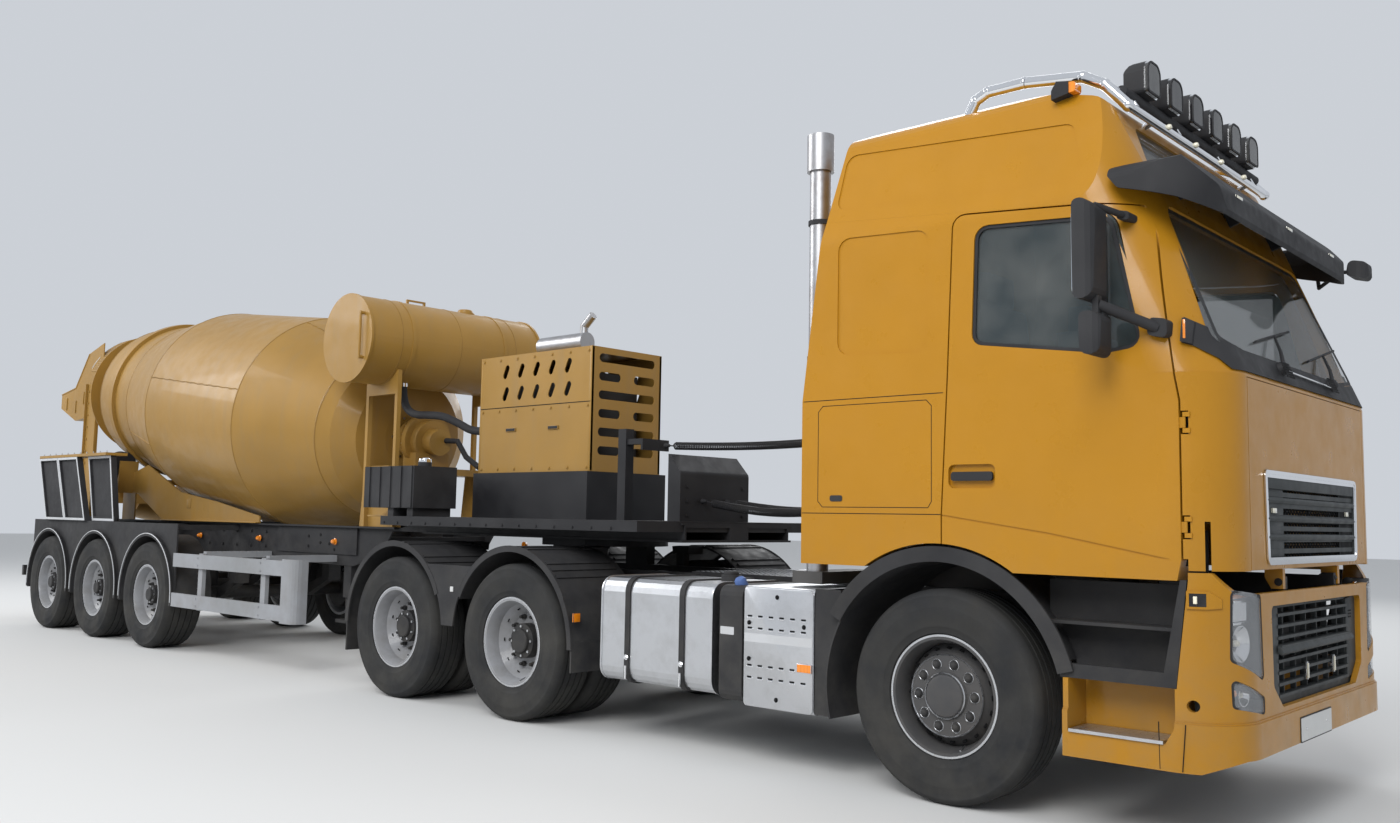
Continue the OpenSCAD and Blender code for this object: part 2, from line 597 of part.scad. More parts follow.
// Cab: its outer form is where a side outline, a front outline and a plan meet
screen_lean = 22;
roof_rear = [-640, 3590];
seam_rear = 3005;
seam_front = 2836;
cab_front = 1394;
cab_back = -830;
screen_top_z = 2935;
screen_top_x = cab_front - (screen_top_z - screen_foot_z) * tan(screen_lean);
brow = [830, 3400];
function slope_x(z) = screen_top_x + (brow[0] - screen_top_x) * (z - screen_top_z) / (brow[1] - screen_top_z);
function side_rows() = [[cab_back, 1147, 0], [cab_front, 1147, 0],
    [cab_front, screen_foot_z, 40], [screen_top_x, screen_top_z, 0],
    [brow[0], brow[1], 140], [300, 3560, 300], [roof_rear[0], roof_rear[1], 90], [-700, seam_rear, 0],
    [cab_back, 2021, 200]];
function front_rows() = [[-cab_half, 1000, 0], [cab_half, 1000, 0], [cab_half, 2890, 200],
    [cab_half - 175, 3480, 120], [700, 3640, 300], [-700, 3640, 300],
    [-cab_half + 175, 3480, 120], [-cab_half, 2890, 200]];
module cab_plan(d) {
    front = cab_front - d;
    half = cab_half - d;
    r = corner_r - d;
    translate([-3000, -half]) square([front - r + 3000, 2 * half]);
    translate([-3000, -half + r]) square([front + 3000, 2 * half - 2 * r]);
    for (s = [-1, 1]) translate([front - r, s * (half - r)]) circle(r, $fn = 96);
}
// Rotates a plan so that it rises along the windscreen
module up_screen() translate([cab_front, 0, screen_foot_z]) rotate([0, -screen_lean, 0])
    translate([-cab_front, 0, 0]) children();
module cab_form(d) intersection() {
    along_y([-1400, 1400]) polygon(rounded(inset(side_rows(), d)));
    along_x([-1000, 1600]) polygon(rounded(inset(front_rows(), d)));
    union() {
        translate([0, 0, 900]) linear_extrude(screen_foot_z - 900 + 0.5) cab_plan(d);
        intersection() {
            up_screen() translate([0, 0, -800]) linear_extrude(3200) cab_plan(d);
            span([-1000, 1600], [-1400, 1400], [screen_foot_z, 4000]);
        }
    }
}
// What lies above the seam between the walls and the roof
module above_seam(gap) along_y([-1500, 1500]) polygon([[-1200, 3035 + gap], [-700, seam_rear + gap],
    [996, seam_front + gap], [1030, 2938 + gap], [1700, 2938 + gap], [1700, 4200], [-1200, 4200]]);
flap_x = 1364;
flap_half = 950;
flap_low = 1195;
flap_top = 2035;
door_rows = [[1103, 761, 40], [1196, 1236, 60], [1196, 1920, 80], [1063, 2756, 0],
    [1040, 2826, 50], [108, 2908, 60], [75, 2100, 0], [40, 1415, 0], [40, 1200, 0], [500, 761, 0]];
window_rows = [[205, 2248, 60], [880, 2150, 80], [1052, 2170, 60], [915, 2788, 80], [225, 2838, 70]];
door_hinge_x = 1214;
door_hinge_y = cab_half - 28;
hinge_z = [1330, 1780];
hinge_r = 7;
module windscreen_outline(d) polygon(rounded(inset([[150, -1106, 70], [900, -1010, 110],
    [900, 1010, 110], [150, 1106, 70], [108, 800, 0], [108, -800, 0]], d)));
module on_screen(x, z, lean) translate([x, 0, z]) rotate([0, -90 - lean, 0]) children();
module arch_cut(r) translate([0, 0, axle_z]) rotate([90, 0, 0]) cylinder(r = r, h = 3000, center = true, $fn = 96);
module cab_shell() color(yellow) difference() {
    cab_form(0);
    above_seam(0);
    // Inside above the floor, and the open space below it
    intersection() {
        cab_form(cab_wall);
        span([-1000, flap_x - 30], [-1400, 1400], [floor_top, 4000]);
    }
    span([cab_back + 40, 1300], [-cab_half + cab_wall, cab_half - cab_wall], [900, floor_top - 40]);
    arch_cut(arch_lip_r + 14);
    // Room for the flap and the gap below it
    span([flap_x - fit, 1500], [-flap_half - 6, flap_half + 6], [flap_low - 6, flap_top + 4]);
    span([600, 1500], [-1400, 1400], [0, 1190]);
    span([300, 1222], [-1400, 1400], [0, 1240]);
    both_sides() door_hole();
    // Recessed fields of the side walls
    both_sides() difference() {
        along_y([-1300, -1150]) polygon(rounded([[-599, 2262, 70], [-45, 2232, 70], [-35, 2862, 70], [-597, 2895, 70]]));
        cab_form(7);
    }
    // Windscreen with a rebate for its glass
    on_screen(cab_front, screen_foot_z, screen_lean) {
        translate([0, 0, -40]) linear_extrude(200) windscreen_outline(20);
        translate([0, 0, 14]) linear_extrude(200) windscreen_outline(0);
    }
}
module door_hole() {
    along_y([-cab_half - 10, -cab_half + 130]) polygon(rounded(inset(door_rows, -panel_gap)));
    for (z = hinge_z)
        span([1150, door_hinge_x + 18], [-cab_half - 10, -cab_half + cab_wall + 60], [z - 6, z + 96]);
}
// Hinge pins of the doors, held by a leaf above and below the door's own knuckle
module hinge_leaves() color(yellow) both_sides() for (z = hinge_z) {
    for (z1 = [z, z + 70]) {
        rod_z(door_hinge_x, -door_hinge_y, hinge_r, [z1, z1 + 20]);
        span([door_hinge_x, door_hinge_x + 26], [-door_hinge_y - hinge_r + 1, -door_hinge_y + hinge_r - 1], [z1, z1 + 20]);
    }
    rod_z(door_hinge_x, -door_hinge_y, 4, [z + 10, z + 80]);
}
// Lugs that hang the cab on its tilt axis
module cab_lugs() color(black) both_sides() difference() {
    along_y([-rail_y - 44, -rail_y - 10]) polygon([[1300, 1190 + fit], [1300, tilt_z + 20],
        [tilt_x - 32, tilt_z - 32], [tilt_x + 20, tilt_z - 32], [tilt_x + 20, 1190 + fit]]);
    rod_y(tilt_x, tilt_z, 18 + fit, [-600, 0]);
}
module cab_roof() color(yellow) difference() {
    intersection() { cab_form(0); above_seam(fit); }
    cab_form(cab_wall);
    // Recessed fields of its sides
    both_sides() difference() {
        along_y([-1300, -1000]) polygon(rounded([[-650, 3070, 60], [770, 2975, 60], [690, 3290, 60], [-640, 3400, 60]]));
        cab_form(6);
    }
    // Roof window in the slope above the visor
    roof_window(0, -50, 200);
}
roof_lean = atan2(screen_top_x - brow[0], brow[1] - screen_top_z);
module roof_window(d, z0, h) on_screen(screen_top_x, screen_top_z, roof_lean) translate([0, 0, z0])
    linear_extrude(h) polygon(rounded(inset([[110, -960, 60], [400, -860, 60], [400, 860, 60], [110, 960, 60]], d)));
module cab_glass() color(glass) {
    on_screen(cab_front, screen_foot_z, screen_lean)
        translate([0, 0, 14 + fit]) linear_extrude(6) windscreen_outline(2);
    roof_window(fit, 10, 8);
}
module front_flap() color(yellow) difference() {
    intersection() {
        cab_form(0);
        span([flap_x, 1500], [-flap_half, flap_half], [flap_low, flap_top]);
    }
    along_x([1300, 1500]) polygon(rounded([[-740, 1212, 40], [740, 1212, 40], [760, 1640, 30], [-760, 1640, 30]]));
}
module upper_grille() {
    color(steel) along_x([flap_x + 1, cab_front + 6]) difference() {
        polygon(rounded(inset([[-740, 1212, 40], [740, 1212, 40], [760, 1640, 30], [-760, 1640, 30]], fit)));
        polygon(rounded(inset([[-740, 1212, 40], [740, 1212, 40], [760, 1640, 30], [-760, 1640, 30]], 34)));
    }
    color(black) {
        for (i = [0 : 6]) span([flap_x + 6, cab_front - 4], [-725, 725], [1262 + i * 52, 1284 + i * 52]);
        for (y = [-720, -360, 0, 360, 720]) span([flap_x + 2, flap_x + 8], [y - 15, y + 15], [1230, 1625]);
    }
}
// Visor: a moulded hood above the windscreen, open below, with its ends round the corners
visor_x = [905, 1330];
visor_half = 1258;
visor_t = 12;
visor_gap = 6;
visor_side = [[905, 2960, 20], [950, 2900, 40], [1190, 2832, 40], [1318, 2776, 8], [1330, 2800, 8],
    [1318, 2900, 60], [1180, 3052, 120], [960, 3120, 60], [905, 3100, 20]];
visor_front = [[-visor_half, 2700, 0], [visor_half, 2700, 0], [visor_half, 2990, 60], [1120, 3040, 150],
    [800, 3092, 300], [-800, 3092, 300], [-1120, 3040, 150], [-visor_half, 2990, 60]];
module visor_form(d, low) intersection() {
    along_y([-1400, 1400]) polygon(rounded(inset(visor_side, d)));
    along_x([visor_x[0] - 10, visor_x[1] + 10]) polygon(rounded(inset(visor_front, d)));
    translate([0, 0, 2700]) linear_extrude(500) {
        half = visor_half - d;
        front = visor_x[1] - d;
        r = 330 - d;
        translate([600, -half]) square([front - r - 600, 2 * half]);
        translate([600, -half + r]) square([front - 600, 2 * half - 2 * r]);
        for (s = [-1, 1]) translate([front - r, s * (half - r)]) circle(r, $fn = 96);
    }
}
module sun_visor() color(black) {
    difference() {
        visor_form(0);
        for (z = [0 : 2]) translate([0, 0, -z * 26]) visor_form(visor_t);
        cab_form(-visor_gap);
        along_y([-1120, 1120]) polygon([[800, 2700], [960, 2700], [1010, 3000], [925, 3200], [800, 3200]]);
    }
    // Brackets on the slope of the roof
    for (y = [-700, 0, 700]) along_y([y - 8, y + 8]) polygon([[slope_x(2950) + 2 * fit, 2950], [1200, 3010],
        [1130, 3072], [slope_x(3044) + 2 * fit, 3054]]);
    cowl();
    kerb_mirror();
}
// Band between the windscreen and the flap, with the foot of the repeater at each end
module cowl() difference() {
    union() {
        intersection() {
            difference() { cab_form(-8); cab_form(-fit); }
            along_y([-1400, 1400]) polygon([[1204, 2176], [1250, 2160], [1330, 2108], [1372, cowl_low],
                [1500, cowl_low], [1500, 2235], [1310, 2235], [1204, 2294]]);
        }
        both_sides() intersection() {
            difference() { cab_form(-22); cab_form(-fit); }
            along_y([-1400, -1000]) polygon([[1204, 2180], [1246, 2168], [1246, 2268], [1204, 2288]]);
        }
    }
    on_screen(cab_front, screen_foot_z, screen_lean) {
        translate([0, 0, -40]) linear_extrude(200) windscreen_outline(16);
        translate([0, 0, 14]) linear_extrude(200) windscreen_outline(0);
    }
}
cowl_low = 2062;
// Kerb mirror on its bent arm at the passenger's end of the visor
module kerb_mirror() {
    arm = [[1120, 1242, 2880], [1130, 1228, 2808], [1250, 1215, 2886], [1310, 1215, 2880]];
    for (i = [0 : 2]) bar(arm[i], arm[i + 1], 11);
    for (i = [1, 2]) translate(arm[i]) sphere(r = 11.4);
    translate([1352, 1215, 0]) mirror_head([[-58, 2850, 24], [40, 2822, 30], [60, 2850, 20], [52, 2920, 30], [-40, 2938, 30]], 76, 120);
}
module cab_interior() color(black) {
    // Dashboard and steering column
    intersection() {
        along_y([-1120, 1120]) polygon([[1300, 1500], [1300, 1960], [1180, 2000], [960, 1930],
            [930, 1800], [1060, 1700], [1150, 1500]]);
        cab_form(cab_wall + 4);
    }
    for (s = [-1, 1]) translate([250, s * 620, 0]) {
        span([-240, 240], [-230, 230], [floor_top + fit, 1700]);
        span([-250, 260], [-260, 260], [1700, 1830]);
        along_y([-250, 250]) polygon([[-250, 1830], [-120, 1830], [-220, 2520], [-330, 2520]]);
        span([-330, -230], [-140, 140], [2510, 2700]);
    }
    span([-740, -160], [-1150, 1150], [floor_top + fit, 1950]);
    span([-740, -160], [-1150, 1150], [1950, 2070]);
    span([1100, 1200], [-300, 300], [floor_top + fit, 1600]);
    bar([1100, -620, 1800], [880, -620, 1960], 30);
    translate([880, -620, 1960]) rotate([0, -54, 0]) {
        rotate_extrude() translate([215, 0]) circle(16);
        for (a = [0, 120, 240]) rotate(a) translate([0, -18, -8]) cube([215, 36, 16]);
        cylinder(r = 60, h = 50, center = true);
    }
}
// Tubular bar: its legs rise at the back of the roof, run forward and down to two tubes
// across the brow, of which the upper one carries six lamps
bar_y = 1000;
bar_r = 28;
bar_low = [905, 3362];
bar_up = [858, 3452];
bar_pts = [[60, 3498], [100, 3570], [170, 3600], [376, 3600], [680, 3556], [792, 3491], [bar_low[0], bar_low[1]]];
bar_lamps = 6;
bar_pitch = 296;
lamp_h = 172;
lamp_w = 168;
slope_n = [cos(roof_lean), 0, sin(roof_lean)];
// Distance of a point in x and z from the slope above the windscreen
function off_slope(p) = (p[0] - screen_top_x) * slope_n[0] + (p[1] - screen_top_z) * slope_n[2];
module bar_lamp() {
    color(black) intersection() {
        along_x([-62, 40]) polygon(rounded([[-lamp_w / 2, 0, 24], [lamp_w / 2, 0, 24], [lamp_w / 2, lamp_h, 60], [-lamp_w / 2, lamp_h, 60]]));
        along_y([-lamp_w, lamp_w]) polygon(rounded([[-62, 40, 20], [-20, 0, 20], [41, 0, 0], [41, lamp_h, 0], [-30, lamp_h, 40], [-62, 120, 30]]));
    }
    color(glass) along_x([40 + fit, 58]) polygon(rounded(inset([[-lamp_w / 2, 0, 24], [lamp_w / 2, 0, 24],
        [lamp_w / 2, lamp_h, 60], [-lamp_w / 2, lamp_h, 60]], 8)));
}
module roof_bar() {
    color(steel) {
        both_sides() {
            difference() {
                for (i = [0 : len(bar_pts) - 2]) bar([bar_pts[i][0], -bar_y, bar_pts[i][1]], [bar_pts[i + 1][0], -bar_y, bar_pts[i + 1][1]], bar_r);
                cab_form(-fit);
            }
            for (i = [1 : len(bar_pts) - 1]) translate([bar_pts[i][0], -bar_y, bar_pts[i][1]]) sphere(r = bar_r + 2);
        }
        rod_y(bar_low[0], bar_low[1], bar_r - 6, [-bar_y, bar_y]);
        // Feet on the slope
        for (y = [-700, 700]) bar([bar_low[0], y, bar_low[1]],
            [bar_low[0], y, bar_low[1]] - (off_slope(bar_low) - fit) * slope_n, 16);
    }
    color(black) {
        rod_y(bar_up[0], bar_up[1], bar_r, [-bar_y + 30, bar_y - 30]);
        for (y = [-850, -300, 300, 850]) bar([bar_up[0], y, bar_up[1]], [bar_low[0], y, bar_low[1]], 12);
        both_sides() bar([bar_up[0] - 12, -bar_y + 10, bar_up[1] + 3], [bar_up[0], -bar_y + 60, bar_up[1]], 14);
    }
    for (i = [0 : bar_lamps - 1]) translate([bar_up[0] + 14, (i - (bar_lamps - 1) / 2) * bar_pitch, bar_up[1] + bar_r - 4]) bar_lamp();
    // Beacon on the near corner of the roof
    color(black) both_sides() difference() {
        along_y([-1135, -1060]) polygon([[580, 3425], [668, 3440], [668, 3500], [606, 3512], [580, 3470]]);
        cab_form(-fit);
    }
    color(yellow) both_sides() difference() {
        along_y([-1131, -1064]) polygon(rounded([[668 + fit, 3444, 0], [702, 3446, 14], [702, 3494, 14], [668 + fit, 3496, 0]]));
        cab_form(-fit);
    }
}

handle_deep = 22;
// Doors with their windows cut, glass in a rebate and the mirrors on their arms
module door(side) mirror([0, side > 0 ? 1 : 0, 0]) color(yellow) difference() {
    union() {
        difference() {
            intersection() {
                along_y([-cab_half - 5, -cab_half + 130]) polygon(rounded(door_rows));
                cab_form(0);
            }
            cab_form(cab_wall);
            arch_cut(arch_lip_r + 14);
        }
        for (z = hinge_z) {
            rod_z(door_hinge_x, -door_hinge_y, hinge_r, [z + 22, z + 68]);
            span([door_hinge_x - 30, door_hinge_x], [-door_hinge_y - hinge_r + 1, -door_hinge_y + hinge_r - 1], [z + 22, z + 68]);
        }
    }
    for (z = hinge_z) {
        rod_z(door_hinge_x, -door_hinge_y, 4 + fit, [z, z + 90]);
        for (z1 = [z - 2, z + 68]) rod_z(door_hinge_x, -door_hinge_y, hinge_r + 3, [z1, z1 + 24]);
    }
    // Crease above the lower panel, and the handle's bowl
    along_y([-cab_half - 10, -cab_half + 5]) polygon([[30, 1410], [607, 1330], [1220, 1218], [1220, 1226], [607, 1338], [30, 1418]]);
    along_y([-cab_half - 10, -cab_half + handle_deep]) polygon(rounded([[76, 1546, 30], [330, 1546, 30], [330, 1662, 30], [76, 1662, 30]]));
    along_y([-cab_half - 10, -cab_half + cab_wall + 60]) polygon(rounded(window_rows));
    along_y([-cab_half + 18, -cab_half + cab_wall + 60]) polygon(rounded(inset(window_rows, -15)));
}
module door_glass(side) mirror([0, side > 0 ? 1 : 0, 0]) color(glass)
    along_y([-cab_half + 18 + fit, -cab_half + 24]) polygon(rounded(inset(window_rows, -12)));
module mirror_head(rows, half, depth) intersection() {
    along_y([-half, half]) polygon(rounded(rows));
    linear_extrude(3000) polygon(rounded([[-depth / 2, -half, 20], [depth / 2, -half, 60], [depth / 2, half, 60], [-depth / 2, half, 20]]));
}
mirror_y = cab_half + 185;
module mirrors(side) mirror([0, side > 0 ? 1 : 0, 0]) color(black) {
    // Feet that follow the door, each with its arm
    difference() {
        union() {
            along_y([-cab_half - 26, -cab_half + 60]) polygon(rounded([[1080, 2212, 20], [1168, 2192, 20], [1168, 2276, 20], [1090, 2290, 20]]));
            along_y([-cab_half - 20, -cab_half + 130]) polygon(rounded([[950, 2752, 12], [1008, 2740, 12], [1004, 2780, 12], [955, 2792, 12]]));
        }
        cab_form(-fit);
    }
    bar([1120, -cab_half - 14, 2242], [930, -mirror_y, 2340], 24);
    bar([980, -cab_half - 6, 2766], [920, -mirror_y, 2786], 15);
    translate([900, -mirror_y, 0]) {
        mirror_head([[-44, 2362, 40], [40, 2349, 50], [50, 2760, 60], [10, 2808, 50], [-48, 2800, 30]], 98, 104);
        mirror_head([[-20, 2116, 40], [62, 2109, 40], [68, 2300, 40], [-24, 2306, 30]], 84, 150);
        span([10, 40], [-20, 20], [2290, 2380]);
    }
    // Handle in its bowl
    along_y([-cab_half - 4, -cab_half + 10]) polygon(rounded([[92, 1582, 14], [316, 1582, 14], [316, 1626, 14], [92, 1626, 14]]));
    for (x = [104, 284]) span([x, x + 20], [-cab_half + 9, -cab_half + handle_deep - fit], [1588, 1620]);
}

// Trailer neck: the coupling plate with its kingpin, two deep beams, the deck, the base
// below the engine and the service post
nose_x = -2330;
neck_end = -5300;
post_x = -3100;
module trailer_neck() color(black) {
    difference() {
        span([nose_x, neck_end], [-beam_y - 30, beam_y + 30], [coupling_z, deck_top]);
        for (s = [-1, 1]) span([neck_end - 10, nose_x + 60], s > 0 ? [beam_y - 460, beam_y - 14] : [-beam_y + 14, -beam_y + 460],
            [coupling_z + 16, deck_top - 30]);
        both_sides() span([neck_end - 10, nose_x + 50], [-beam_y - 40, -beam_y], [coupling_z + 14, deck_top - 14]);
    }
    rod_z(kingpin_x, 0, kingpin_r, [coupling_z - 80, coupling_z + 5]);
    rod_z(kingpin_x, 0, kingpin_r + 10, [coupling_z - 82, coupling_z - 62]);
    // Deck with its turned edge
    difference() {
        span([nose_x - 12, neck_end], [-1000, 1000], [deck_top - 60, deck_top + 12]);
        span([nose_x - 60, neck_end - 50], [-992, 992], [deck_top - 100, deck_top]);
    }
    for (x = [-2600, -3300, -4500, -5100]) both_sides()
        span([x - 10, x + 10], [-996, -beam_y - 20], [deck_top - 50, deck_top + 5]);
    // Base below the engine
    difference() {
        span([-4860, -3470], [-420, 420], [deck_top + 5, cover_z - fit]);
        span([-4800, -3530], [-330, 330], [deck_top + 60, cover_z + 10]);
    }
    // Service post with its arm, and the curved shield ahead of it
    span([post_x, post_x + 80], [-460, -380], [deck_top + 5, 2014]);
    span([post_x + 10, post_x + 240], [-450, -390], [1900, 1940]);
    span([post_x + 220, post_x + 240], [-450, -180], [1860, 1940]);
    along_y([-370, 370]) polygon(rounded([[-2680, deck_top + 5, 0], [-2560, deck_top + 5, 0],
        [-2560, 1700, 40], [-2680, 1830, 0]]));
}
// Trailer frame: the two beams behind the neck, cross members, tail and landing legs
beam_end = 910 - rear_reach;
beam_rows = [[neck_end - fit, coupling_z + 10], [neck_end - fit, deck_top - 2], [-5650, beam_top],
    [beam_end, beam_top], [beam_end, 1010], [-9300, 930], [-6400, 900], [-5960, 1010], [-5790, coupling_z + 10]];
flange_top = beam_top + 4;
function beam_under(x) = x < -9300 ? 930 + 80 * (-9300 - x) / (-9300 - beam_end) : 900 + 30 * (-6400 - x) / 2900;
module trailer_frame() color(black) difference() {
    union() {
        both_sides() along_y([-beam_y, -beam_y + 14]) polygon([for (i = [len(beam_rows) - 1 : -1 : 0]) beam_rows[i]]);
        // Top flanges of the beams
        both_sides() span([beam_end + 5, -5700], [-beam_y - 45, -beam_y + 54], [beam_top - 12, flange_top]);
        for (x = [beam_end + 60, -11100, -9750, -8400, -7200, -5980])
            span([x - 40, x + 40], [-beam_y + 7, beam_y - 7], [1030, 1170]);
        // Tail: cross member, lamp bar and its stays
        span([beam_end - 40, beam_end + 8], [-beam_y - 60, beam_y + 60], [1020, beam_top - 20]);
        span([beam_end - 60, beam_end - 10], [-1200, 1200], [560, 680]);
        both_sides() span([beam_end - 35, beam_end - 15], [-640, -570], [620, 1100]);
        span([beam_end - 110, beam_end - 30], [-70, 70], [1050, 1080]);
        both_sides() landing_leg();
    }
    rod_z(beam_end - 75, 0, 20, [900, 1300]);
}
module landing_leg() {
    span([-6560, -6440], [-beam_y + 10, -beam_y + 134], [615, 1205]);
    span([-6545, -6455], [-beam_y + 29, -beam_y + 119], [410, 630]);
    span([-6620, -6380], [-beam_y - 20, -beam_y + 168], [390, 420]);
}
// Valances with an arch over each trailer wheel
arch_trail_r = 600;
module trailer_mudguards() color(black) both_sides() {
    difference() {
        span([-12324, -8477], [-guard_y + 42, -guard_y + 56], [600, 1241]);
        for (x = trail_x) translate([x, 0, axle_z]) rotate([90, 0, 0]) cylinder(r = arch_trail_r - 6, h = 4000, center = true, $fn = 96);
    }
    for (x = trail_x) {
        translate([x, 0, axle_z]) {
            along_y([-guard_y + 8, -860]) sector(arch_trail_r - 12, arch_trail_r, -8, 188);
            along_y([-guard_y + 2, -guard_y + 12]) sector(arch_trail_r - 15, arch_trail_r + 22, -7, 187);
        }
    }
    for (x = [-8600, -9750, -11085, -12250])
        span([x - 30, x + 30], [-guard_y + 50, -beam_y - fit], [1180, 1230]);
}
module side_guards() color(grey) both_sides() {
    for (z = [450, 830]) span([-8440, -6250], [-guard_y, -guard_y + 25], [z, z + 130]);
    for (x = [-7900, -6700]) {
        span([x - 40, x + 40], [-guard_y + 24, -guard_y + 60], [440, 970]);
        span([x - 30, x + 30], [-guard_y + 59, -beam_y - fit], [930, 990]);
    }
    // Wide plate at the front, bent inwards
    translate([0, 0, 434]) linear_extrude(540) polygon(rounded([[-6340, -guard_y - 2, 0], [-6132, -guard_y - 2, 70],
        [-6132, -guard_y + 130, 0], [-6144, -guard_y + 130, 0], [-6144, -guard_y + 10, 58], [-6340, -guard_y + 10, 0]]));
}
// Engine cover with rows of slots. Rows of the front are [height share, parts]
module slot2d(l, h) { square([l - h, h], center = true); for (s = [-1, 1]) translate([s * (l - h) / 2, 0]) circle(h / 2, $fn = 32); }
module engine_cover() color(yellow) {
    x0 = -cover_front - cover_l;
    x1 = -cover_front;
    difference() {
        span([x0, x1], [-cover_half, cover_half], [cover_z, cover_top]);
        span([x0 + cover_t, x1 - cover_t], [-cover_half + cover_t, cover_half - cover_t], [cover_z - 10, cover_top - cover_t]);
        // Slanted slots in the sides
        along_y([-2000, 2000]) for (i = [0 : 4]) for (z = [2360, 2540])
            translate([x0 + 330 + i * 190, z]) rotate(65) slot2d(120, 52);
        // Long and short slots across the front
        along_x([x1 - 40, x1 + 40]) for (i = [0 : 5]) {
            z = 2590 - i * 142;
            if (i % 2 == 0) translate([0, z]) slot2d(600, 66);
            else for (s = [-1, 1]) translate([s * 185, z]) slot2d(230, 66);
        }
    }
}
module pump_engine() color(black) {
    span([-4700, -3650], [-260, 260], [deck_top + 60 + fit, 2500]);
    rod_x(-100, cover_top + 92, 78, [-4400, -3860]);
    for (x = [-4300, -3960]) span([x - 20, x + 20], [-160, -40], [cover_top + fit, cover_top + 30]);
    bar([-3900, -100, cover_top + 150], [-3900, -100, cover_top + 230], 34);
    bar([-3900, -100, cover_top + 220], [-3800, -100, cover_top + 300], 34);
}
tank_posts = [-6230, -5780];
module water_tank() color(yellow) {
    rod_y(-tank_x, tank_z, tank_r, [-tank_half, tank_half]);
    // Straps, the end rims, the handle and the sight tube
    for (y = [-tank_half, tank_half - 22]) rod_y(-tank_x, tank_z, tank_r + 9, [y, y + 22]);
    for (y = [-520, 480]) rod_y(-tank_x, tank_z, tank_r + 5, [y, y + 40]);
    span([-tank_x - 90, -tank_x - 70], [-300, -280], [tank_z + tank_r - 20, tank_z + tank_r + 60]);
    span([-tank_x - 90, -tank_x - 70], [-120, -100], [tank_z + tank_r - 20, tank_z + tank_r + 60]);
    span([-tank_x - 90, -tank_x - 70], [-300, -100], [tank_z + tank_r + 45, tank_z + tank_r + 60]);
    for (z = [-190, 190]) rod_y(-tank_x + 260, tank_z + z, 14, [-tank_half - 46, -tank_half + 5]);
    rod_z(-tank_x + 260, -tank_half - 36, 11, [tank_z - 205, tank_z + 205]);
    // Saddles below the tank on four posts
    both_sides() {
        span([tank_posts[0], tank_posts[1] + 40], [-600, -560], [tank_z - tank_r - 90, tank_z - tank_r + 120]);
        for (x = tank_posts) span([x, x + 40], [-600, -560], [flange_top + fit, tank_z - tank_r]);
    }
}
// Drum frame: s runs along the axis from the front rim, upwards to the back
module along_drum() translate([-drum_front, 0, drum_z]) rotate([0, drum_tilt - 90, 0]) children();
function on_drum(s) = [-drum_front - s * cos(drum_tilt), drum_z + s * sin(drum_tilt)];
mouth_s = track_s + 1050;
drum_rows = [[-345, 280], [-300, 560], [-150, 735], [0, 806], [1049, drum_r], [track_s - 1371, drum_r],
    [track_s - 450, track_r - 5], [track_s + 500, track_r - 80], [mouth_s, 560]];
// The underside of the drum at a distance y from its middle, this much below the shell
function below_drum(i, y, gap) = let (s = drum_rows[i][0], h = sqrt(pow(drum_rows[i][1] + gap, 2) - y * y))
    [-drum_front - s * cos(drum_tilt) - h * sin(drum_tilt), drum_z + s * sin(drum_tilt) - h * cos(drum_tilt)];
module drum() color(yellow) along_drum() {
    rotate_extrude($fn = 96) difference() {
        polygon(concat([[0, -345], [0, -345]], [for (p = drum_rows) [p[1], p[0]]], [[0, mouth_s]]));
        polygon(concat([[0, -345 + drum_t]], [for (i = [0 : len(drum_rows) - 2])
            [drum_rows[i][1] - drum_t - (i < 3 ? 20 : 0), max(drum_rows[i][0], -345) + (i < 3 ? drum_t : 0)]],
            [[drum_rows[8][1] - drum_t, mouth_s + 10], [0, mouth_s + 10]]));
    }
    // Track ring that runs on the rollers
    rotate_extrude($fn = 96) translate([track_r - 60, track_s - 45]) square([60, 90]);
    translate([0, 0, -400]) cylinder(r = 160, h = 60);
}
module drum_drive() color(yellow) {
    along_drum() {
        translate([0, 0, -700]) cylinder(r = 190, h = 300 - fit);
        translate([0, 0, -820]) cylinder(r = 120, h = 122);
        translate([0, 0, -620]) cylinder(r = 250, h = 60);
    }
    span([-6250, -6050], [-180, 180], [cradle_z + fit, cradle_z + 140]);
}
cradle_z = 1795;
// The two rollers sit in the drum's frame, each at this angle from straight below
roller_a = 42;
module roller(side) color(black) along_drum() rotate(-side * roller_a) translate([-(track_r + roller_r + fit), 0, track_s - 60])
    difference() { cylinder(r = roller_r, h = 120); translate([0, 0, -1]) cylinder(r = 25 + fit, h = 122); }
roller_down = (track_r + roller_r + fit) * cos(roller_a);
roller_out = (track_r + roller_r + fit) * sin(roller_a);
roller_pin_r = 25;
plate_y = [-600, -584];
module drum_cradle() color(yellow) {
    base = flange_top + fit;
    // Front pedestal below the gearbox
    both_sides() along_y([-558, -540]) polygon([[-6330, base], [-5700, base], [-5900, cradle_z], [-6270, cradle_z]]);
    span([-6270, -5950], [-550, 550], [cradle_z - 60, cradle_z]);
    // Side plates that follow the drum up to the rollers, with a column below these
    both_sides() along_y(plate_y) polygon(concat([[-8080, base], [-10289, base], [-11000, 1560],
        [-11060, 1560], [-11060, base], [-11400, base], [-11400, 1745]],
        [for (i = [6, 5]) below_drum(i, -plate_y[0], 40)], [[-9000, 1470], [-8080, 1330]]));
    along_drum() both_sides() roller_bracket();
    rear_frame();
}
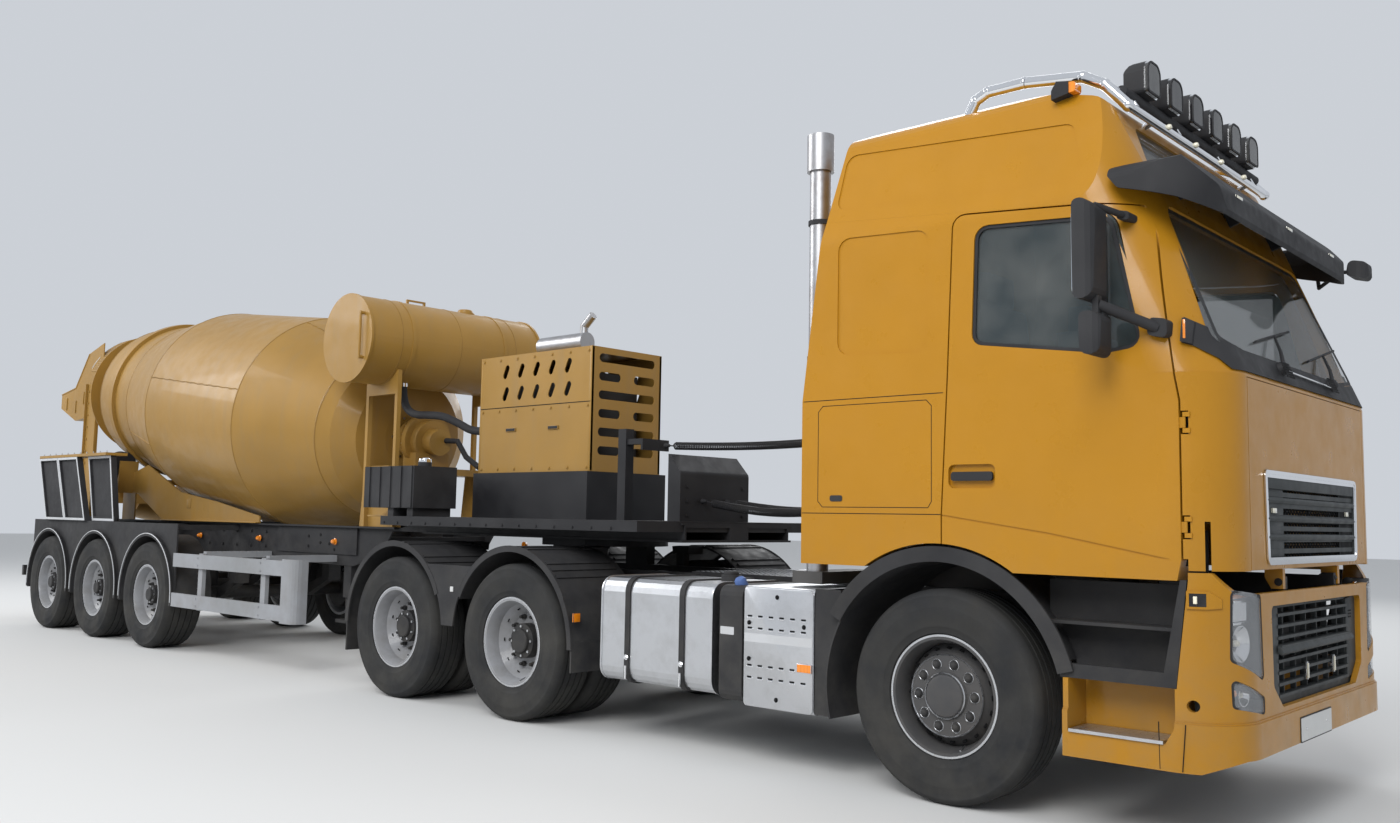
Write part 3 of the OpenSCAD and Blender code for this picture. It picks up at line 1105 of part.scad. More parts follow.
module roller_bracket() {
    for (s = [track_s - 95, track_s + 75])
        translate([-roller_down - 330, -roller_out - 54, s]) cube([370, roller_out - 560 + 54, 20]);
    translate([-roller_down - 330, -roller_out - 54, track_s - 95]) cube([165, roller_out - 560 + 54, 190]);
    translate([-roller_down, -roller_out, track_s - 90]) cylinder(r = roller_pin_r, h = 180);
}
// Rear frame: side plates, cross tubes, the ring round the drum's mouth and the pivot
rear_x = [910 - rear_reach, 1270 - rear_reach];
pivot_x = 600 - rear_reach;
module rear_frame() {
    both_sides() span(rear_x, plate_y, [flange_top + fit, 2950]);
    for (z = [1450, 1700]) span([rear_x[0] + 30, rear_x[0] + 100], [plate_y[0] + 5, -plate_y[0] - 5], [z, z + 70]);
    // Arm and pin of the discharge chute
    span([pivot_x - 60, rear_x[0] + 60], [-60, 60], [1705, 1765]);
    rod_z(pivot_x, 0, 30, [1500, 1720]);
}
// Guard ring round the mouth, on two lugs that are bolted to the edges of the side plates
module mouth_ring() color(yellow) difference() {
    along_drum() {
        translate([0, 0, mouth_s + 40]) linear_extrude(12) difference() { circle(745, $fn = 96); circle(575, $fn = 96); }
        both_sides() translate([-100, plate_y[0], mouth_s + 45]) cube([200, plate_y[1] - plate_y[0] - 2, 330]);
    }
    both_sides() span([rear_x[0] - 50, rear_x[1] + fit], [plate_y[0] - 5, plate_y[1] + 5], [2000, 3200]);
}
module hopper() color(yellow) {
    // Charging hopper that slopes down into the mouth
    difference() {
        translate([-rear_reach, 0, 0]) along_y([plate_y[1] + fit, -plate_y[1] - fit]) polygon([[1300, 2560],
            [506, 2498], [0, 2681], [0, 2867], [467, 2929], [860, 3342], [1300, 3440]]);
        translate([-rear_reach, 0, 0]) along_y([plate_y[1] + 12, -plate_y[1] - 12]) polygon([[1400, 2574],
            [506, 2511], [12, 2691], [12, 3000], [500, 3000], [900, 3600], [1400, 3600]]);
    }
}
chute_rows = [[-11900, -11320, -11656, -12223], [-11314, -10734, -11070, -11648], [-10680, -10097, -10283, -10905]];
module spare_chutes() {
    for (i = [0 : 2]) {
        r = chute_rows[i];
        y0 = -guard_y + 12 + (i == 2 ? 60 : 0);
        rows = [[r[0], chute_low, 0], [r[1], chute_low, 0], [r[2], 1955, 0], [r[3], 1955, 0]];
        color(black) difference() {
            along_y([y0, y0 + 60]) polygon(rounded(rows));
            along_y([y0 - 10, y0 + 22]) polygon(rounded(inset(rows, 34)));
            along_y([y0 + 34, y0 + 70]) polygon(rounded(inset(rows, 20)));
        }
    }
    // Plank over the chutes and the rail that holds them
    color(yellow) span([-12215, -10260], [-guard_y + 10, -guard_y + 240], [1955 + fit, 1985]);
    color(grey) {
        span([-12000, -10080], [-guard_y + 72 + fit, -guard_y + 100], [1241 + fit, 1290]);
    }
}
chute_low = 1241 + fit;
module diesel_tank() color(black) {
    span([-5590, -4880], [-980, -570], [1424, 1759]);
    for (i = [0 : 4]) span([-5560 + i * 150, -5500 + i * 150], [-990, -560], [1426, 1757]);
    rod_z(-5000, -800, 55, [1758, 1795]);
    for (x = [-5260, -4990]) span([x, x + 80], [-960, -600], [deck_top + 12 + fit, 1430]);
}
// Discharge chute: a swivel below its arm, and the trough hinged to the swivel
chute_hinge_y = 190;
chute_hinge_z = 1560;
module chute_ring() color(yellow) difference() {
    union() {
        rod_z(pivot_x, 0, 75, [1510, 1690]);
        for (x = [-330, 310]) span([pivot_x + x, pivot_x + x + 20], [60, chute_hinge_y + 40], [chute_hinge_z - 50, chute_hinge_z + 50]);
        span([pivot_x - 330, pivot_x + 330], [60, 80], [chute_hinge_z - 50, chute_hinge_z + 50]);
        rod_x(chute_hinge_y, chute_hinge_z, 20, [pivot_x - 325, pivot_x - 250]);
        rod_x(chute_hinge_y, chute_hinge_z, 20, [pivot_x + 250, pivot_x + 325]);
    }
    rod_z(pivot_x, 0, 30 + fit, [1400, 1800]);
}
module chute() color(yellow) translate([pivot_x, chute_hinge_y, chute_hinge_z]) rotate([-12, 0, 0])
    translate([-pivot_x, -chute_hinge_y, -chute_hinge_z]) difference() {
        union() {
            along_y([chute_hinge_y - 20, chute_hinge_y + 1000]) translate([pivot_x, chute_hinge_z - 20]) difference() {
                circle(260);
                circle(250);
                translate([-400, 0]) square([800, 400]);
            }
            for (x = [-300, 255]) span([pivot_x + x, pivot_x + x + 45], [chute_hinge_y - 40, chute_hinge_y + 40], [chute_hinge_z - 40, chute_hinge_z + 40]);
        }
        rod_x(chute_hinge_y, chute_hinge_z, 20 + fit, [pivot_x - 400, pivot_x - 240]);
        rod_x(chute_hinge_y, chute_hinge_z, 20 + fit, [pivot_x + 240, pivot_x + 400]);
    }
module lead_upper() color(black) rod_x(-220, lead_z[0], 22, [post_x + 240 + fit, -1060 - fit]);
module lead_lower() color(black) rod_x(120, lead_z[1], 22, [-2560 + fit, -1060 - fit]);

module placed() translate([shift, 0, 0]) children();
placed() {
    tractor_frame();
    powertrain();
    front_axle();
    drive_axles();
    fifth_wheel();
    drive_mudguards();
    front_arches();
    bumper();
    lower_grille();
    fuel_tanks();
    service_boxes();
    union() { cab_shell(); cab_lugs(); hinge_leaves(); }
    cab_roof();
    cab_glass();
    sun_visor();
    cab_interior();
    roof_bar();
    front_flap();
    upper_grille();
    door(-1);  // door_right
    door(1);  // door_left
    door_glass(-1);  // door_glass_right
    door_glass(1);  // door_glass_left
    mirrors(-1);  // mirrors_right
    mirrors(1);  // mirrors_left
    knuckle();  // knuckle_right
    mirror([0, 1, 0]) knuckle();  // knuckle_left
    wheel_at(0, steer_track, steer_wheel, -1);  // wheel_front_right
    wheel_at(0, steer_track, steer_wheel, 1);  // wheel_front_left
    wheel_at(drive_x[0], drive_track, drive_wheel, -1, true);  // wheel_drive_1_right
    wheel_at(drive_x[0], drive_track, drive_wheel, 1, true);  // wheel_drive_1_left
    wheel_at(drive_x[1], drive_track, drive_wheel, -1, true);  // wheel_drive_2_right
    wheel_at(drive_x[1], drive_track, drive_wheel, 1, true);  // wheel_drive_2_left
    trailer_neck();
    trailer_frame();
    trailer_axles();
    trailer_mudguards();
    side_guards();
    engine_cover();
    pump_engine();
    water_tank();
    drum_drive();
    diesel_tank();
    drum_cradle();
    mouth_ring();
    hopper();
    spare_chutes();
    drum();
    roller(-1);  // roller_right
    roller(1);  // roller_left
    chute_ring();
    chute();
    wheel_at(trail_x[0], trail_track, trail_wheel, -1);  // wheel_trail_1_right
    wheel_at(trail_x[0], trail_track, trail_wheel, 1);  // wheel_trail_1_left
    wheel_at(trail_x[1], trail_track, trail_wheel, -1);  // wheel_trail_2_right
    wheel_at(trail_x[1], trail_track, trail_wheel, 1);  // wheel_trail_2_left
    wheel_at(trail_x[2], trail_track, trail_wheel, -1);  // wheel_trail_3_right
    wheel_at(trail_x[2], trail_track, trail_wheel, 1);  // wheel_trail_3_left
    lead_upper();
    lead_lower();
}
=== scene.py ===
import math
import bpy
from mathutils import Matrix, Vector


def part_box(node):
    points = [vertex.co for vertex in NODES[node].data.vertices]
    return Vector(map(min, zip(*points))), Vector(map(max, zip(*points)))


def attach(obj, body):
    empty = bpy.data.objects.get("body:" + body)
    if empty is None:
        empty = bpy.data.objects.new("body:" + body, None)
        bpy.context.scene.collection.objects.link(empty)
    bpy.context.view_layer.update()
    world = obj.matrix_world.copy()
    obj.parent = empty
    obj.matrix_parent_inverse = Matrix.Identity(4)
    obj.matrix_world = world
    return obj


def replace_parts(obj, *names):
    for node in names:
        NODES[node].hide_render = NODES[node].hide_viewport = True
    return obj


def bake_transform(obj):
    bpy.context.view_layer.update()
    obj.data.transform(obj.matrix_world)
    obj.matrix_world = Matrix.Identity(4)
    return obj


bl_info = {
    "name": "Articulated Concrete Mixer",
    "version": (1, 0, 0),
    "blender": (4, 5, 0),
    "location": "3D View > Sidebar > Mixer",
    "description": "Dresses the packed frame of an articulated concrete mixer with its finishes and fittings",
    "category": "Object",
}

import bmesh
import bpy
from bpy.props import FloatProperty, FloatVectorProperty, IntProperty, PointerProperty
from bpy.types import Operator, Panel, PropertyGroup
from mathutils import Matrix, Vector

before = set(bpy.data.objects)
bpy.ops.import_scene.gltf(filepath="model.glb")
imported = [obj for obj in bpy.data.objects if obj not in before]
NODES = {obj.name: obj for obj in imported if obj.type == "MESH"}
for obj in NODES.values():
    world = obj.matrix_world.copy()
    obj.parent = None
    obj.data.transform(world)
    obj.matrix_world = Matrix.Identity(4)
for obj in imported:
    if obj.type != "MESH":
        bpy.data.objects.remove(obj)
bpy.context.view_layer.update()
TAU = 2 * math.pi


# Places are given in millimetres from the front axle, as on the CAD drawing
def middle(node):
    low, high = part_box(node)
    return (low + high) / 2


AXLE_X = middle("front_axle").x
AXLE_Z = 525
DRIVE_X = (-3300, -4690)
TRAIL_X = (-9080, -10415, -11750)
CAB_SIDE = 1245
CAB_FRONT = 1394
SCREEN_FOOT = 2045
SCREEN_LEAN = math.radians(22)
BEAM_Y = 560
GUARD_Y = 1275
DRUM_FOOT = Vector((-6742, 0, 2133))
DRUM_TILT = math.radians(7.3)
DRUM_AXIS = Vector((-math.cos(DRUM_TILT), 0, math.sin(DRUM_TILT)))
DRUM_UP = Vector((math.sin(DRUM_TILT), 0, math.cos(DRUM_TILT)))
DRUM_ROWS = ((-345, 280), (-300, 560), (-150, 735), (0, 806), (1049, 1088), (3029, 1088), (3950, 925),
             (4900, 850), (5450, 560))
WINDOW = ((205, 2248, 60), (880, 2150, 80), (1052, 2170, 60), (915, 2788, 80), (225, 2838, 70))
HEADLAMP = ((865, 712, 25), (1127, 812, 25), (1120, 1114, 25), (885, 1088, 25))
FOG_LAMP = ((861, 572, 20), (1121, 618, 20), (1125, 742, 20), (864, 648, 20))
LAMP_DEPTH = 13
BUMPER_CORNER = (1130, 960, 290)
SCREEN = ((150, -1106, 70), (900, -1010, 110), (900, 1010, 110), (150, 1106, 70), (108, 800, 0),
          (108, -800, 0))


def at(x, y, z):
    return Vector((AXLE_X + x / 1000, y / 1000, z / 1000))


def on_screen(up, across, depth=0.0):
    """A point on the windscreen: up from its foot, across the cab, and so deep below the cab's form."""
    sine, cosine = math.sin(SCREEN_LEAN), math.cos(SCREEN_LEAN)
    return Vector((CAB_FRONT - sine * up - cosine * depth, across, SCREEN_FOOT + cosine * up - sine * depth))


def on_drum(along, radius, angle):
    """A point round the drum's axis: the angle runs from the top to the left."""
    out = math.cos(angle) * DRUM_UP + math.sin(angle) * Vector((0, 1, 0))
    return DRUM_FOOT + along * DRUM_AXIS + radius * out


def arch(x, y, radius, degrees):
    """Points of an arc over a wheel."""
    angles = [math.radians(degree) for degree in degrees]
    return [(x + radius * math.cos(a), y, AXLE_Z + radius * math.sin(a)) for a in angles]


def hexagon(size, x=0, y=0):
    return [(x + size * math.cos(a * TAU / 6), y + size * math.sin(a * TAU / 6)) for a in range(6)]


def drum_radius(along):
    for (s0, r0), (s1, r1) in zip(DRUM_ROWS, DRUM_ROWS[1:]):
        if s0 <= along <= s1:
            return r0 + (r1 - r0) * (along - s0) / (s1 - s0)
    return DRUM_ROWS[-1][1]


# Outlines whose rows are x, y and the radius of the corner
def oblong(x0, z0, x1, z1, radius):
    """The corners of a rectangle, each with its radius, for rounded."""
    return [(x0, z0, radius), (x1, z0, radius), (x1, z1, radius), (x0, z1, radius)]


def rounded(rows, steps=4):
    points = []
    count = len(rows)
    for i, (x, y, radius) in enumerate(rows):
        here = Vector((x, y))
        if radius <= 0:
            points.append((x, y))
            continue
        before = (Vector(rows[i - 1][:2]) - here).normalized()
        after = (Vector(rows[(i + 1) % count][:2]) - here).normalized()
        half = before.angle(after) / 2
        centre = here + (before + after).normalized() * radius / math.sin(half)
        first = here + before * radius / math.tan(half) - centre
        last = here + after * radius / math.tan(half) - centre
        sweep = math.atan2(first.x * last.y - first.y * last.x, first.dot(last))
        for step in range(steps + 1):
            turn = sweep * step / steps
            cosine, sine = math.cos(turn), math.sin(turn)
            points.append((centre.x + first.x * cosine - first.y * sine,
                           centre.y + first.x * sine + first.y * cosine))
    return points


def inset(rows, distance):
    moved = []
    count = len(rows)
    for i, (x, y, radius) in enumerate(rows):
        here = Vector((x, y))
        into = (here - Vector(rows[i - 1][:2])).normalized()
        out = (Vector(rows[(i + 1) % count][:2]) - here).normalized()
        left, right = Vector((-into.y, into.x)), Vector((-out.y, out.x))
        shift = (left + right) * distance / (1 + left.dot(right))
        moved.append((x + shift.x, y + shift.y, max(radius - distance, 1) if radius > 0 else 0))
    return moved


# Materials
def shader(name):
    material = bpy.data.materials.new(name)
    material.use_nodes = True
    tree = material.node_tree
    return material, tree, tree.nodes["Principled BSDF"]


def add(tree, kind, **values):
    node = tree.nodes.new(kind)
    for key, value in values.items():
        if key in node.inputs:
            node.inputs[key].default_value = value
        else:
            setattr(node, key, value)
    return node


def object_place(tree, scale=(1, 1, 1)):
    place = add(tree, "ShaderNodeTexCoord")
    mapping = add(tree, "ShaderNodeMapping", Scale=scale)
    tree.links.new(place.outputs["Object"], mapping.inputs["Vector"])
    return mapping.outputs["Vector"]


def noise(tree, place, scale, detail=4.0, roughness=0.55):
    node = add(tree, "ShaderNodeTexNoise", Scale=scale, Detail=detail, Roughness=roughness)
    tree.links.new(place, node.inputs["Vector"])
    return node.outputs["Fac"]


def ramp(tree, value, low, high, start=0.0, end=1.0):
    node = add(tree, "ShaderNodeMapRange")
    node.inputs["From Min"].default_value = low
    node.inputs["From Max"].default_value = high
    node.inputs["To Min"].default_value = start
    node.inputs["To Max"].default_value = end
    tree.links.new(value, node.inputs["Value"])
    return node.outputs["Result"]


def mix_colour(tree, factor, first, second):
    node = tree.nodes.new("ShaderNodeMix")
    node.data_type = "RGBA"
    tree.links.new(factor, node.inputs["Factor"])
    for socket, value in ((node.inputs[6], first), (node.inputs[7], second)):
        if isinstance(value, bpy.types.NodeSocket):
            tree.links.new(value, socket)
        else:
            socket.default_value = (*value, 1)
    return node.outputs[2]


def math_of(tree, operation, first, second):
    node = add(tree, "ShaderNodeMath", operation=operation)
    for socket, value in zip(node.inputs, (first, second)):
        if isinstance(value, bpy.types.NodeSocket):
            tree.links.new(value, socket)
        else:
            socket.default_value = value
    return node.outputs[0]


def bump(tree, surface, height, strength, distance):
    node = add(tree, "ShaderNodeBump", Strength=strength, Distance=distance)
    tree.links.new(height, node.inputs["Height"])
    tree.links.new(node.outputs["Normal"], surface.inputs["Normal"])


def height_above_ground(tree):
    place = add(tree, "ShaderNodeTexCoord")
    split = add(tree, "ShaderNodeSeparateXYZ")
    tree.links.new(place.outputs["Object"], split.inputs[0])
    return split.outputs["Z"]


def mix_below_height(tree, place, colour, dust, full, clean, most):
    """A second colour mixed in below a height, most near the ground and broken up by noise: it makes the
    black parts lighter and the paler paints darker towards the bottom.
    """
    low = ramp(tree, height_above_ground(tree), full, clean, most, 0.0)
    patches = ramp(tree, noise(tree, place, 5.0, 6.0, 0.65), 0.35, 0.7)
    return mix_colour(tree, math_of(tree, "MULTIPLY", low, patches), colour, dust)


def paint(name, colour, dark, roughness=0.3, coat=0.6, dust=(0.20, 0.16, 0.10), most=0.35, top=1.6,
          streaks=0.0):
    material, tree, surface = shader(name)
    place = object_place(tree)
    tone = ramp(tree, noise(tree, place, 1.3, 3.0), 0.35, 0.7)
    base = mix_colour(tree, tone, colour, dark)
    if streaks:
        run = noise(tree, object_place(tree, (9.0, 9.0, 0.7)), 1.0, 5.0, 0.6)
        base = mix_colour(tree, ramp(tree, run, 0.52, 0.78, 0.0, streaks), base, dust)
    base = mix_below_height(tree, place, base, dust, 0.35, top, most)
    tree.links.new(base, surface.inputs["Base Color"])
    rough = ramp(tree, noise(tree, place, 7.0), 0.3, 0.75, roughness * 0.8, roughness * 1.35)
    tree.links.new(rough, surface.inputs["Roughness"])
    surface.inputs["Coat Weight"].default_value = coat
    surface.inputs["Coat Roughness"].default_value = 0.08
    surface.inputs["Specular IOR Level"].default_value = 0.22
    bump(tree, surface, noise(tree, place, 420.0, 2.0), 0.06, 0.0006)
    return material


def plastic(name, colour, worn, roughness=0.62, grain=900.0, depth=0.25, most=0.35):
    material, tree, surface = shader(name)
    place = object_place(tree)
    base = mix_colour(tree, ramp(tree, noise(tree, place, 3.0, 5.0), 0.35, 0.75), colour, worn)
    base = mix_below_height(tree, place, base, (0.13, 0.12, 0.10), 0.3, 1.4, most)
    tree.links.new(base, surface.inputs["Base Color"])
    rough = ramp(tree, noise(tree, place, 12.0), 0.3, 0.7, roughness * 0.85, min(1, roughness * 1.2))
    tree.links.new(rough, surface.inputs["Roughness"])
    surface.inputs["Specular IOR Level"].default_value = 0.2
    bump(tree, surface, noise(tree, place, grain, 2.0), depth, 0.0004)
    return material


def bright(name, colour, roughness=0.18, stretch=(1, 1, 1), streak=0.1, grime=(0.25, 0.24, 0.22), most=0.25):
    material, tree, surface = shader(name)
    place = object_place(tree)
    brushed = noise(tree, object_place(tree, stretch), 60.0, 3.0)
    base = mix_colour(tree, ramp(tree, noise(tree, place, 6.0, 6.0, 0.7), 0.45, 0.75, 0.0, most), colour,
                      grime)
    tree.links.new(base, surface.inputs["Base Color"])
    tree.links.new(ramp(tree, brushed, 0.3, 0.7, roughness, roughness + streak), surface.inputs["Roughness"])
    surface.inputs["Metallic"].default_value = 1.0
    bump(tree, surface, brushed, 0.05, 0.0005)
    return material


def clear(name, tint, roughness=0.02, alpha=0.35):
    material, tree, surface = shader(name)
    place = object_place(tree)
    base = mix_colour(tree, ramp(tree, noise(tree, place, 2.5, 4.0), 0.4, 0.7, 0.0, 0.3), tint,
                      (0.3, 0.3, 0.28))
    tree.links.new(base, surface.inputs["Base Color"])
    surface.inputs["Roughness"].default_value = roughness
    surface.inputs["Alpha"].default_value = alpha
    surface.inputs["Specular IOR Level"].default_value = 0.7
    return material


def lens(name, colour, ribs=14.0):
    material, tree, surface = shader(name)
    wave = add(tree, "ShaderNodeTexWave", Scale=ribs, Distortion=0.0)
    tree.links.new(object_place(tree), wave.inputs["Vector"])
    dim = tuple(part * 0.5 for part in colour)
    ribbed = mix_colour(tree, ramp(tree, wave.outputs["Fac"], 0, 1, 0.0, 0.25), colour, dim)
    tree.links.new(ribbed, surface.inputs["Base Color"])
    surface.inputs["Roughness"].default_value = 0.12
    surface.inputs["Coat Weight"].default_value = 1.0
    bump(tree, surface, wave.outputs["Fac"], 0.3, 0.001)
    return material


def fabric(name, colour, light):
    material, tree, surface = shader(name)
    weave = add(tree, "ShaderNodeTexWave", Scale=180.0, Distortion=0.6)
    tree.links.new(object_place(tree), weave.inputs["Vector"])
    base = mix_colour(tree, weave.outputs["Fac"], colour, light)
    tree.links.new(base, surface.inputs["Base Color"])
    surface.inputs["Roughness"].default_value = 0.92
    surface.inputs["Sheen Weight"].default_value = 0.3
    bump(tree, surface, weave.outputs["Fac"], 0.35, 0.0008)
    return material


FINISHES = {}


def make_finishes(cab_yellow, drum_yellow, dust):
    cab_dark = tuple(part * 0.92 for part in cab_yellow)
    drum_dark = tuple(part * 0.86 for part in drum_yellow)
    FINISHES.update({
        "cab_paint": paint("cab_paint", cab_yellow, cab_dark, 0.32, 0.2, most=dust),
        # Up to 2.6 m the drum's paint is mixed in patches towards a darker brown, most near the ground, so
        # the drum turns darker towards the bottom.
        "drum_paint": paint("drum_paint", drum_yellow, drum_dark, 0.42, 0.12, most=dust, streaks=0.22,
                            top=2.6),
        "weld": paint("weld", drum_dark, tuple(part * 0.6 for part in drum_yellow), 0.5, 0.1, most=dust),
        "chassis_black": plastic("chassis_black", (0.016, 0.016, 0.018), (0.03, 0.03, 0.032), 0.5, 300.0, 0.1,
                                 dust),
        "moulded_black": plastic("moulded_black", (0.022, 0.022, 0.024), (0.04, 0.04, 0.042), most=dust),
        "grille_grey": plastic("grille_grey", (0.045, 0.05, 0.052), (0.06, 0.065, 0.066), 0.55, most=0.15),
        "tyre_rubber": plastic("tyre_rubber", (0.020, 0.021, 0.023), (0.036, 0.035, 0.033), 0.8, 500.0, 0.3,
                               0.2),
        "rim_dark": paint("rim_dark", (0.06, 0.06, 0.062), (0.045, 0.045, 0.046), 0.4, 0.2,
                          (0.10, 0.09, 0.08), 0.5),
        "rim_silver": paint("rim_silver", (0.32, 0.33, 0.35), (0.24, 0.24, 0.25), 0.4, 0.2,
                            (0.13, 0.12, 0.10), 0.5),
        "machined": bright("machined", (0.62, 0.63, 0.65), 0.25, (1, 1, 1), 0.1, most=0.3),
        "cast_grey": plastic("cast_grey", (0.06, 0.06, 0.062), (0.10, 0.095, 0.09), 0.6, 200.0, 0.4),
        "stack_steel": bright("stack_steel", (0.42, 0.42, 0.43), 0.3, (12, 12, 1), 0.2, (0.16, 0.11, 0.08),
                              0.5),
        "tank_aluminium": bright("tank_aluminium", (0.62, 0.63, 0.65), 0.26, (1, 1, 12), 0.15),
        "chrome": bright("chrome", (0.80, 0.81, 0.83), 0.06, (1, 1, 1), 0.05, most=0.1),
        "guard_grey": paint("guard_grey", (0.30, 0.31, 0.33), (0.25, 0.26, 0.27), 0.42, 0.1,
                            (0.16, 0.14, 0.12), 0.4),
        "cab_trim": plastic("cab_trim", (0.05, 0.05, 0.055), (0.07, 0.07, 0.07), 0.75, 700.0, 0.3, 0.0),
        "seat_cloth": fabric("seat_cloth", (0.06, 0.065, 0.08), (0.11, 0.115, 0.13)),
        "tinted_glass": clear("tinted_glass", (0.04, 0.055, 0.06), 0.02, 0.55),
        "windscreen_glass": clear("windscreen_glass", (0.10, 0.12, 0.12), 0.02, 0.3),
        "lamp_glass": clear("lamp_glass", (0.55, 0.57, 0.6), 0.03, 0.22),
        "smoked_glass": clear("smoked_glass", (0.012, 0.012, 0.014), 0.04, 0.9),
        "amber_lens": lens("amber_lens", (0.85, 0.25, 0.01)),
        "red_lens": lens("red_lens", (0.55, 0.01, 0.01)),
        "lamp_bulb": lens("lamp_bulb", (0.85, 0.80, 0.62)),
        "mirror_glass": bright("mirror_glass", (0.72, 0.76, 0.80), 0.02, streak=0.01, most=0.05),
        "plate_white": paint("plate_white", (0.62, 0.63, 0.62), (0.55, 0.55, 0.54), 0.4, 0.3, most=0.1),
        "edge_white": paint("edge_white", (0.55, 0.56, 0.58), (0.45, 0.46, 0.47), 0.4, 0.2, most=0.15),
        "slot_dark": plastic("slot_dark", (0.006, 0.006, 0.007), (0.012, 0.012, 0.012), 0.8, most=0.0),
        "lead_rubber": plastic("lead_rubber", (0.02, 0.02, 0.022), (0.035, 0.034, 0.033), 0.55, most=0.1),
        "cap_blue": plastic("cap_blue", (0.06, 0.12, 0.32), (0.10, 0.16, 0.34), 0.45, most=0.2),
    })


# Finishes of the CAD nodes
NODE_FINISH = {
    "chassis_black": ["tractor_frame", "front_axle", "drive_axles", "fifth_wheel", "knuckle_right",
                      "knuckle_left", "trailer_neck", "trailer_frame", "trailer_axles", "roller_right",
                      "roller_left"],
    "moulded_black": ["drive_mudguards", "front_arches", "trailer_mudguards", "sun_visor", "mirrors_right",
                      "mirrors_left", "diesel_tank"],
    "grille_grey": ["lower_grille"],
    "lead_rubber": ["lead_upper", "lead_lower"],
    "cab_paint": ["cab_shell", "cab_roof", "front_flap", "door_right", "door_left"],
    "drum_paint": ["engine_cover", "water_tank", "drum_cradle", "mouth_ring", "hopper", "drum", "chute_ring",
                   "chute", "drum_drive"],
    "cab_trim": ["cab_interior"],
    "tinted_glass": ["door_glass_right", "door_glass_left"],
    "windscreen_glass": ["cab_glass"],
    "guard_grey": ["side_guards"],
}


def islands(mesh):
    """The solids of a CAD node: the numbers of each one's faces and its box in mm from the front axle."""
    keys = {}
    parent = []

    def root(i):
        while parent[i] != i:
            parent[i] = parent[parent[i]]
            i = parent[i]
        return i

    corner = []
    for vertex in mesh.vertices:
        key = tuple(round(part * 1e5) for part in vertex.co)
        if key not in keys:
            keys[key] = len(parent)
            parent.append(len(parent))
        corner.append(keys[key])
    for face in mesh.polygons:
        first = root(corner[face.vertices[0]])
        for other in face.vertices[1:]:
            parent[root(corner[other])] = first
    groups = {}
    for face in mesh.polygons:
        groups.setdefault(root(corner[face.vertices[0]]), []).append(face.index)
    for faces in groups.values():
        points = [mesh.vertices[v].co for f in faces for v in mesh.polygons[f].vertices]
        low = [min(p[i] for p in points) * 1000 for i in range(3)]
        high = [max(p[i] for p in points) * 1000 for i in range(3)]
        yield faces, (low[0] - AXLE_X * 1000, low[1], low[2]), (high[0] - AXLE_X * 1000, high[1], high[2])


def coat_node(name, *finishes):
    mesh = NODES[name].data
    mesh.materials.clear()
    for finish in finishes:
        mesh.materials.append(FINISHES[finish])
    for face in mesh.polygons:
        face.material_index = 0


def coat_solids(name, finishes, choose):
    """Gives each solid of a CAD node the finish that choose names from its box."""
    coat_node(name, *finishes)
    mesh = NODES[name].data
    for faces, low, high in islands(mesh):
        index = finishes.index(choose(low, high))
        for face in faces:
            mesh.polygons[face].material_index = index


def coat_faces(name, choose):
    """Gives each face of a CAD node the slot that choose names from its middle, or leaves it."""
    mesh = NODES[name].data
    for face in mesh.polygons:
        x, y, z = (face.center - Vector((AXLE_X, 0, 0))) * 1000
        slot = choose(x, y, z)
        if slot is not None:
            face.material_index = slot


def bumper_finish(low, high):
    if high[2] - low[2] < 20 and high[0] < 1160:
        return "tank_aluminium"
    if low[0] < 700:
        return "cab_paint"
    if low[2] > 1030:
        return "smoked_glass"
    # The lens is a thin sheet ahead of its housing
    return "lamp_glass" if high[0] > 1400.5 else "moulded_black"


def coat_nodes():
    for finish, names in NODE_FINISH.items():
        for name in names:
            coat_node(name, finish)
    coat_solids("bumper", ["cab_paint", "tank_aluminium", "smoked_glass", "lamp_glass", "moulded_black"],
                bumper_finish)
    coat_solids("fuel_tanks", ["tank_aluminium", "moulded_black"],
                lambda low, high: "tank_aluminium" if high[0] - low[0] > 800 else "moulded_black")
    coat_solids("service_boxes", ["tank_aluminium", "moulded_black"],
                lambda low, high: "tank_aluminium" if high[0] - low[0] > 300 else "moulded_black")
    coat_solids("upper_grille", ["grille_grey", "chrome"], lambda low, high: "grille_grey")
    coat_faces("upper_grille", lambda x, y, z: 1 if x > 1399 or z < 1232 or z > 1655 else None)
    coat_solids("roof_bar", ["chrome", "moulded_black", "smoked_glass", "amber_lens"],
                lambda low, high: "chrome" if high[0] - low[0] > 400 else
                "moulded_black" if high[0] < 669 else "amber_lens" if high[0] < 710 else "smoked_glass")
    coat_faces("roof_bar", lambda x, y, z: 1 if 800 < x < 912 and abs(y) < 975 and 3424 < z < 3660 else None)
    coat_solids("powertrain", ["cast_grey", "stack_steel", "moulded_black"], lambda low, high: "cast_grey")
    coat_faces("powertrain", lambda x, y, z: 1 if z > 1100 and x < -900 and y < -700 else None)
    coat_node("pump_engine", "cast_grey", "stack_steel")
    coat_faces("pump_engine", lambda x, y, z: 1 if z > 2680 else None)
    coat_solids("spare_chutes", ["moulded_black", "drum_paint", "guard_grey"],
                lambda low, high: "drum_paint" if low[2] > 1900 else
                "guard_grey" if high[2] < 1300 else "moulded_black")


# Pieces: shapes gathered in one mesh, drawn in millimetres from the front axle
PLACE = {"x": lambda a, b, t: (t, a, b), "y": lambda a, b, t: (a, t, b), "z": lambda a, b, t: (a, b, t)}


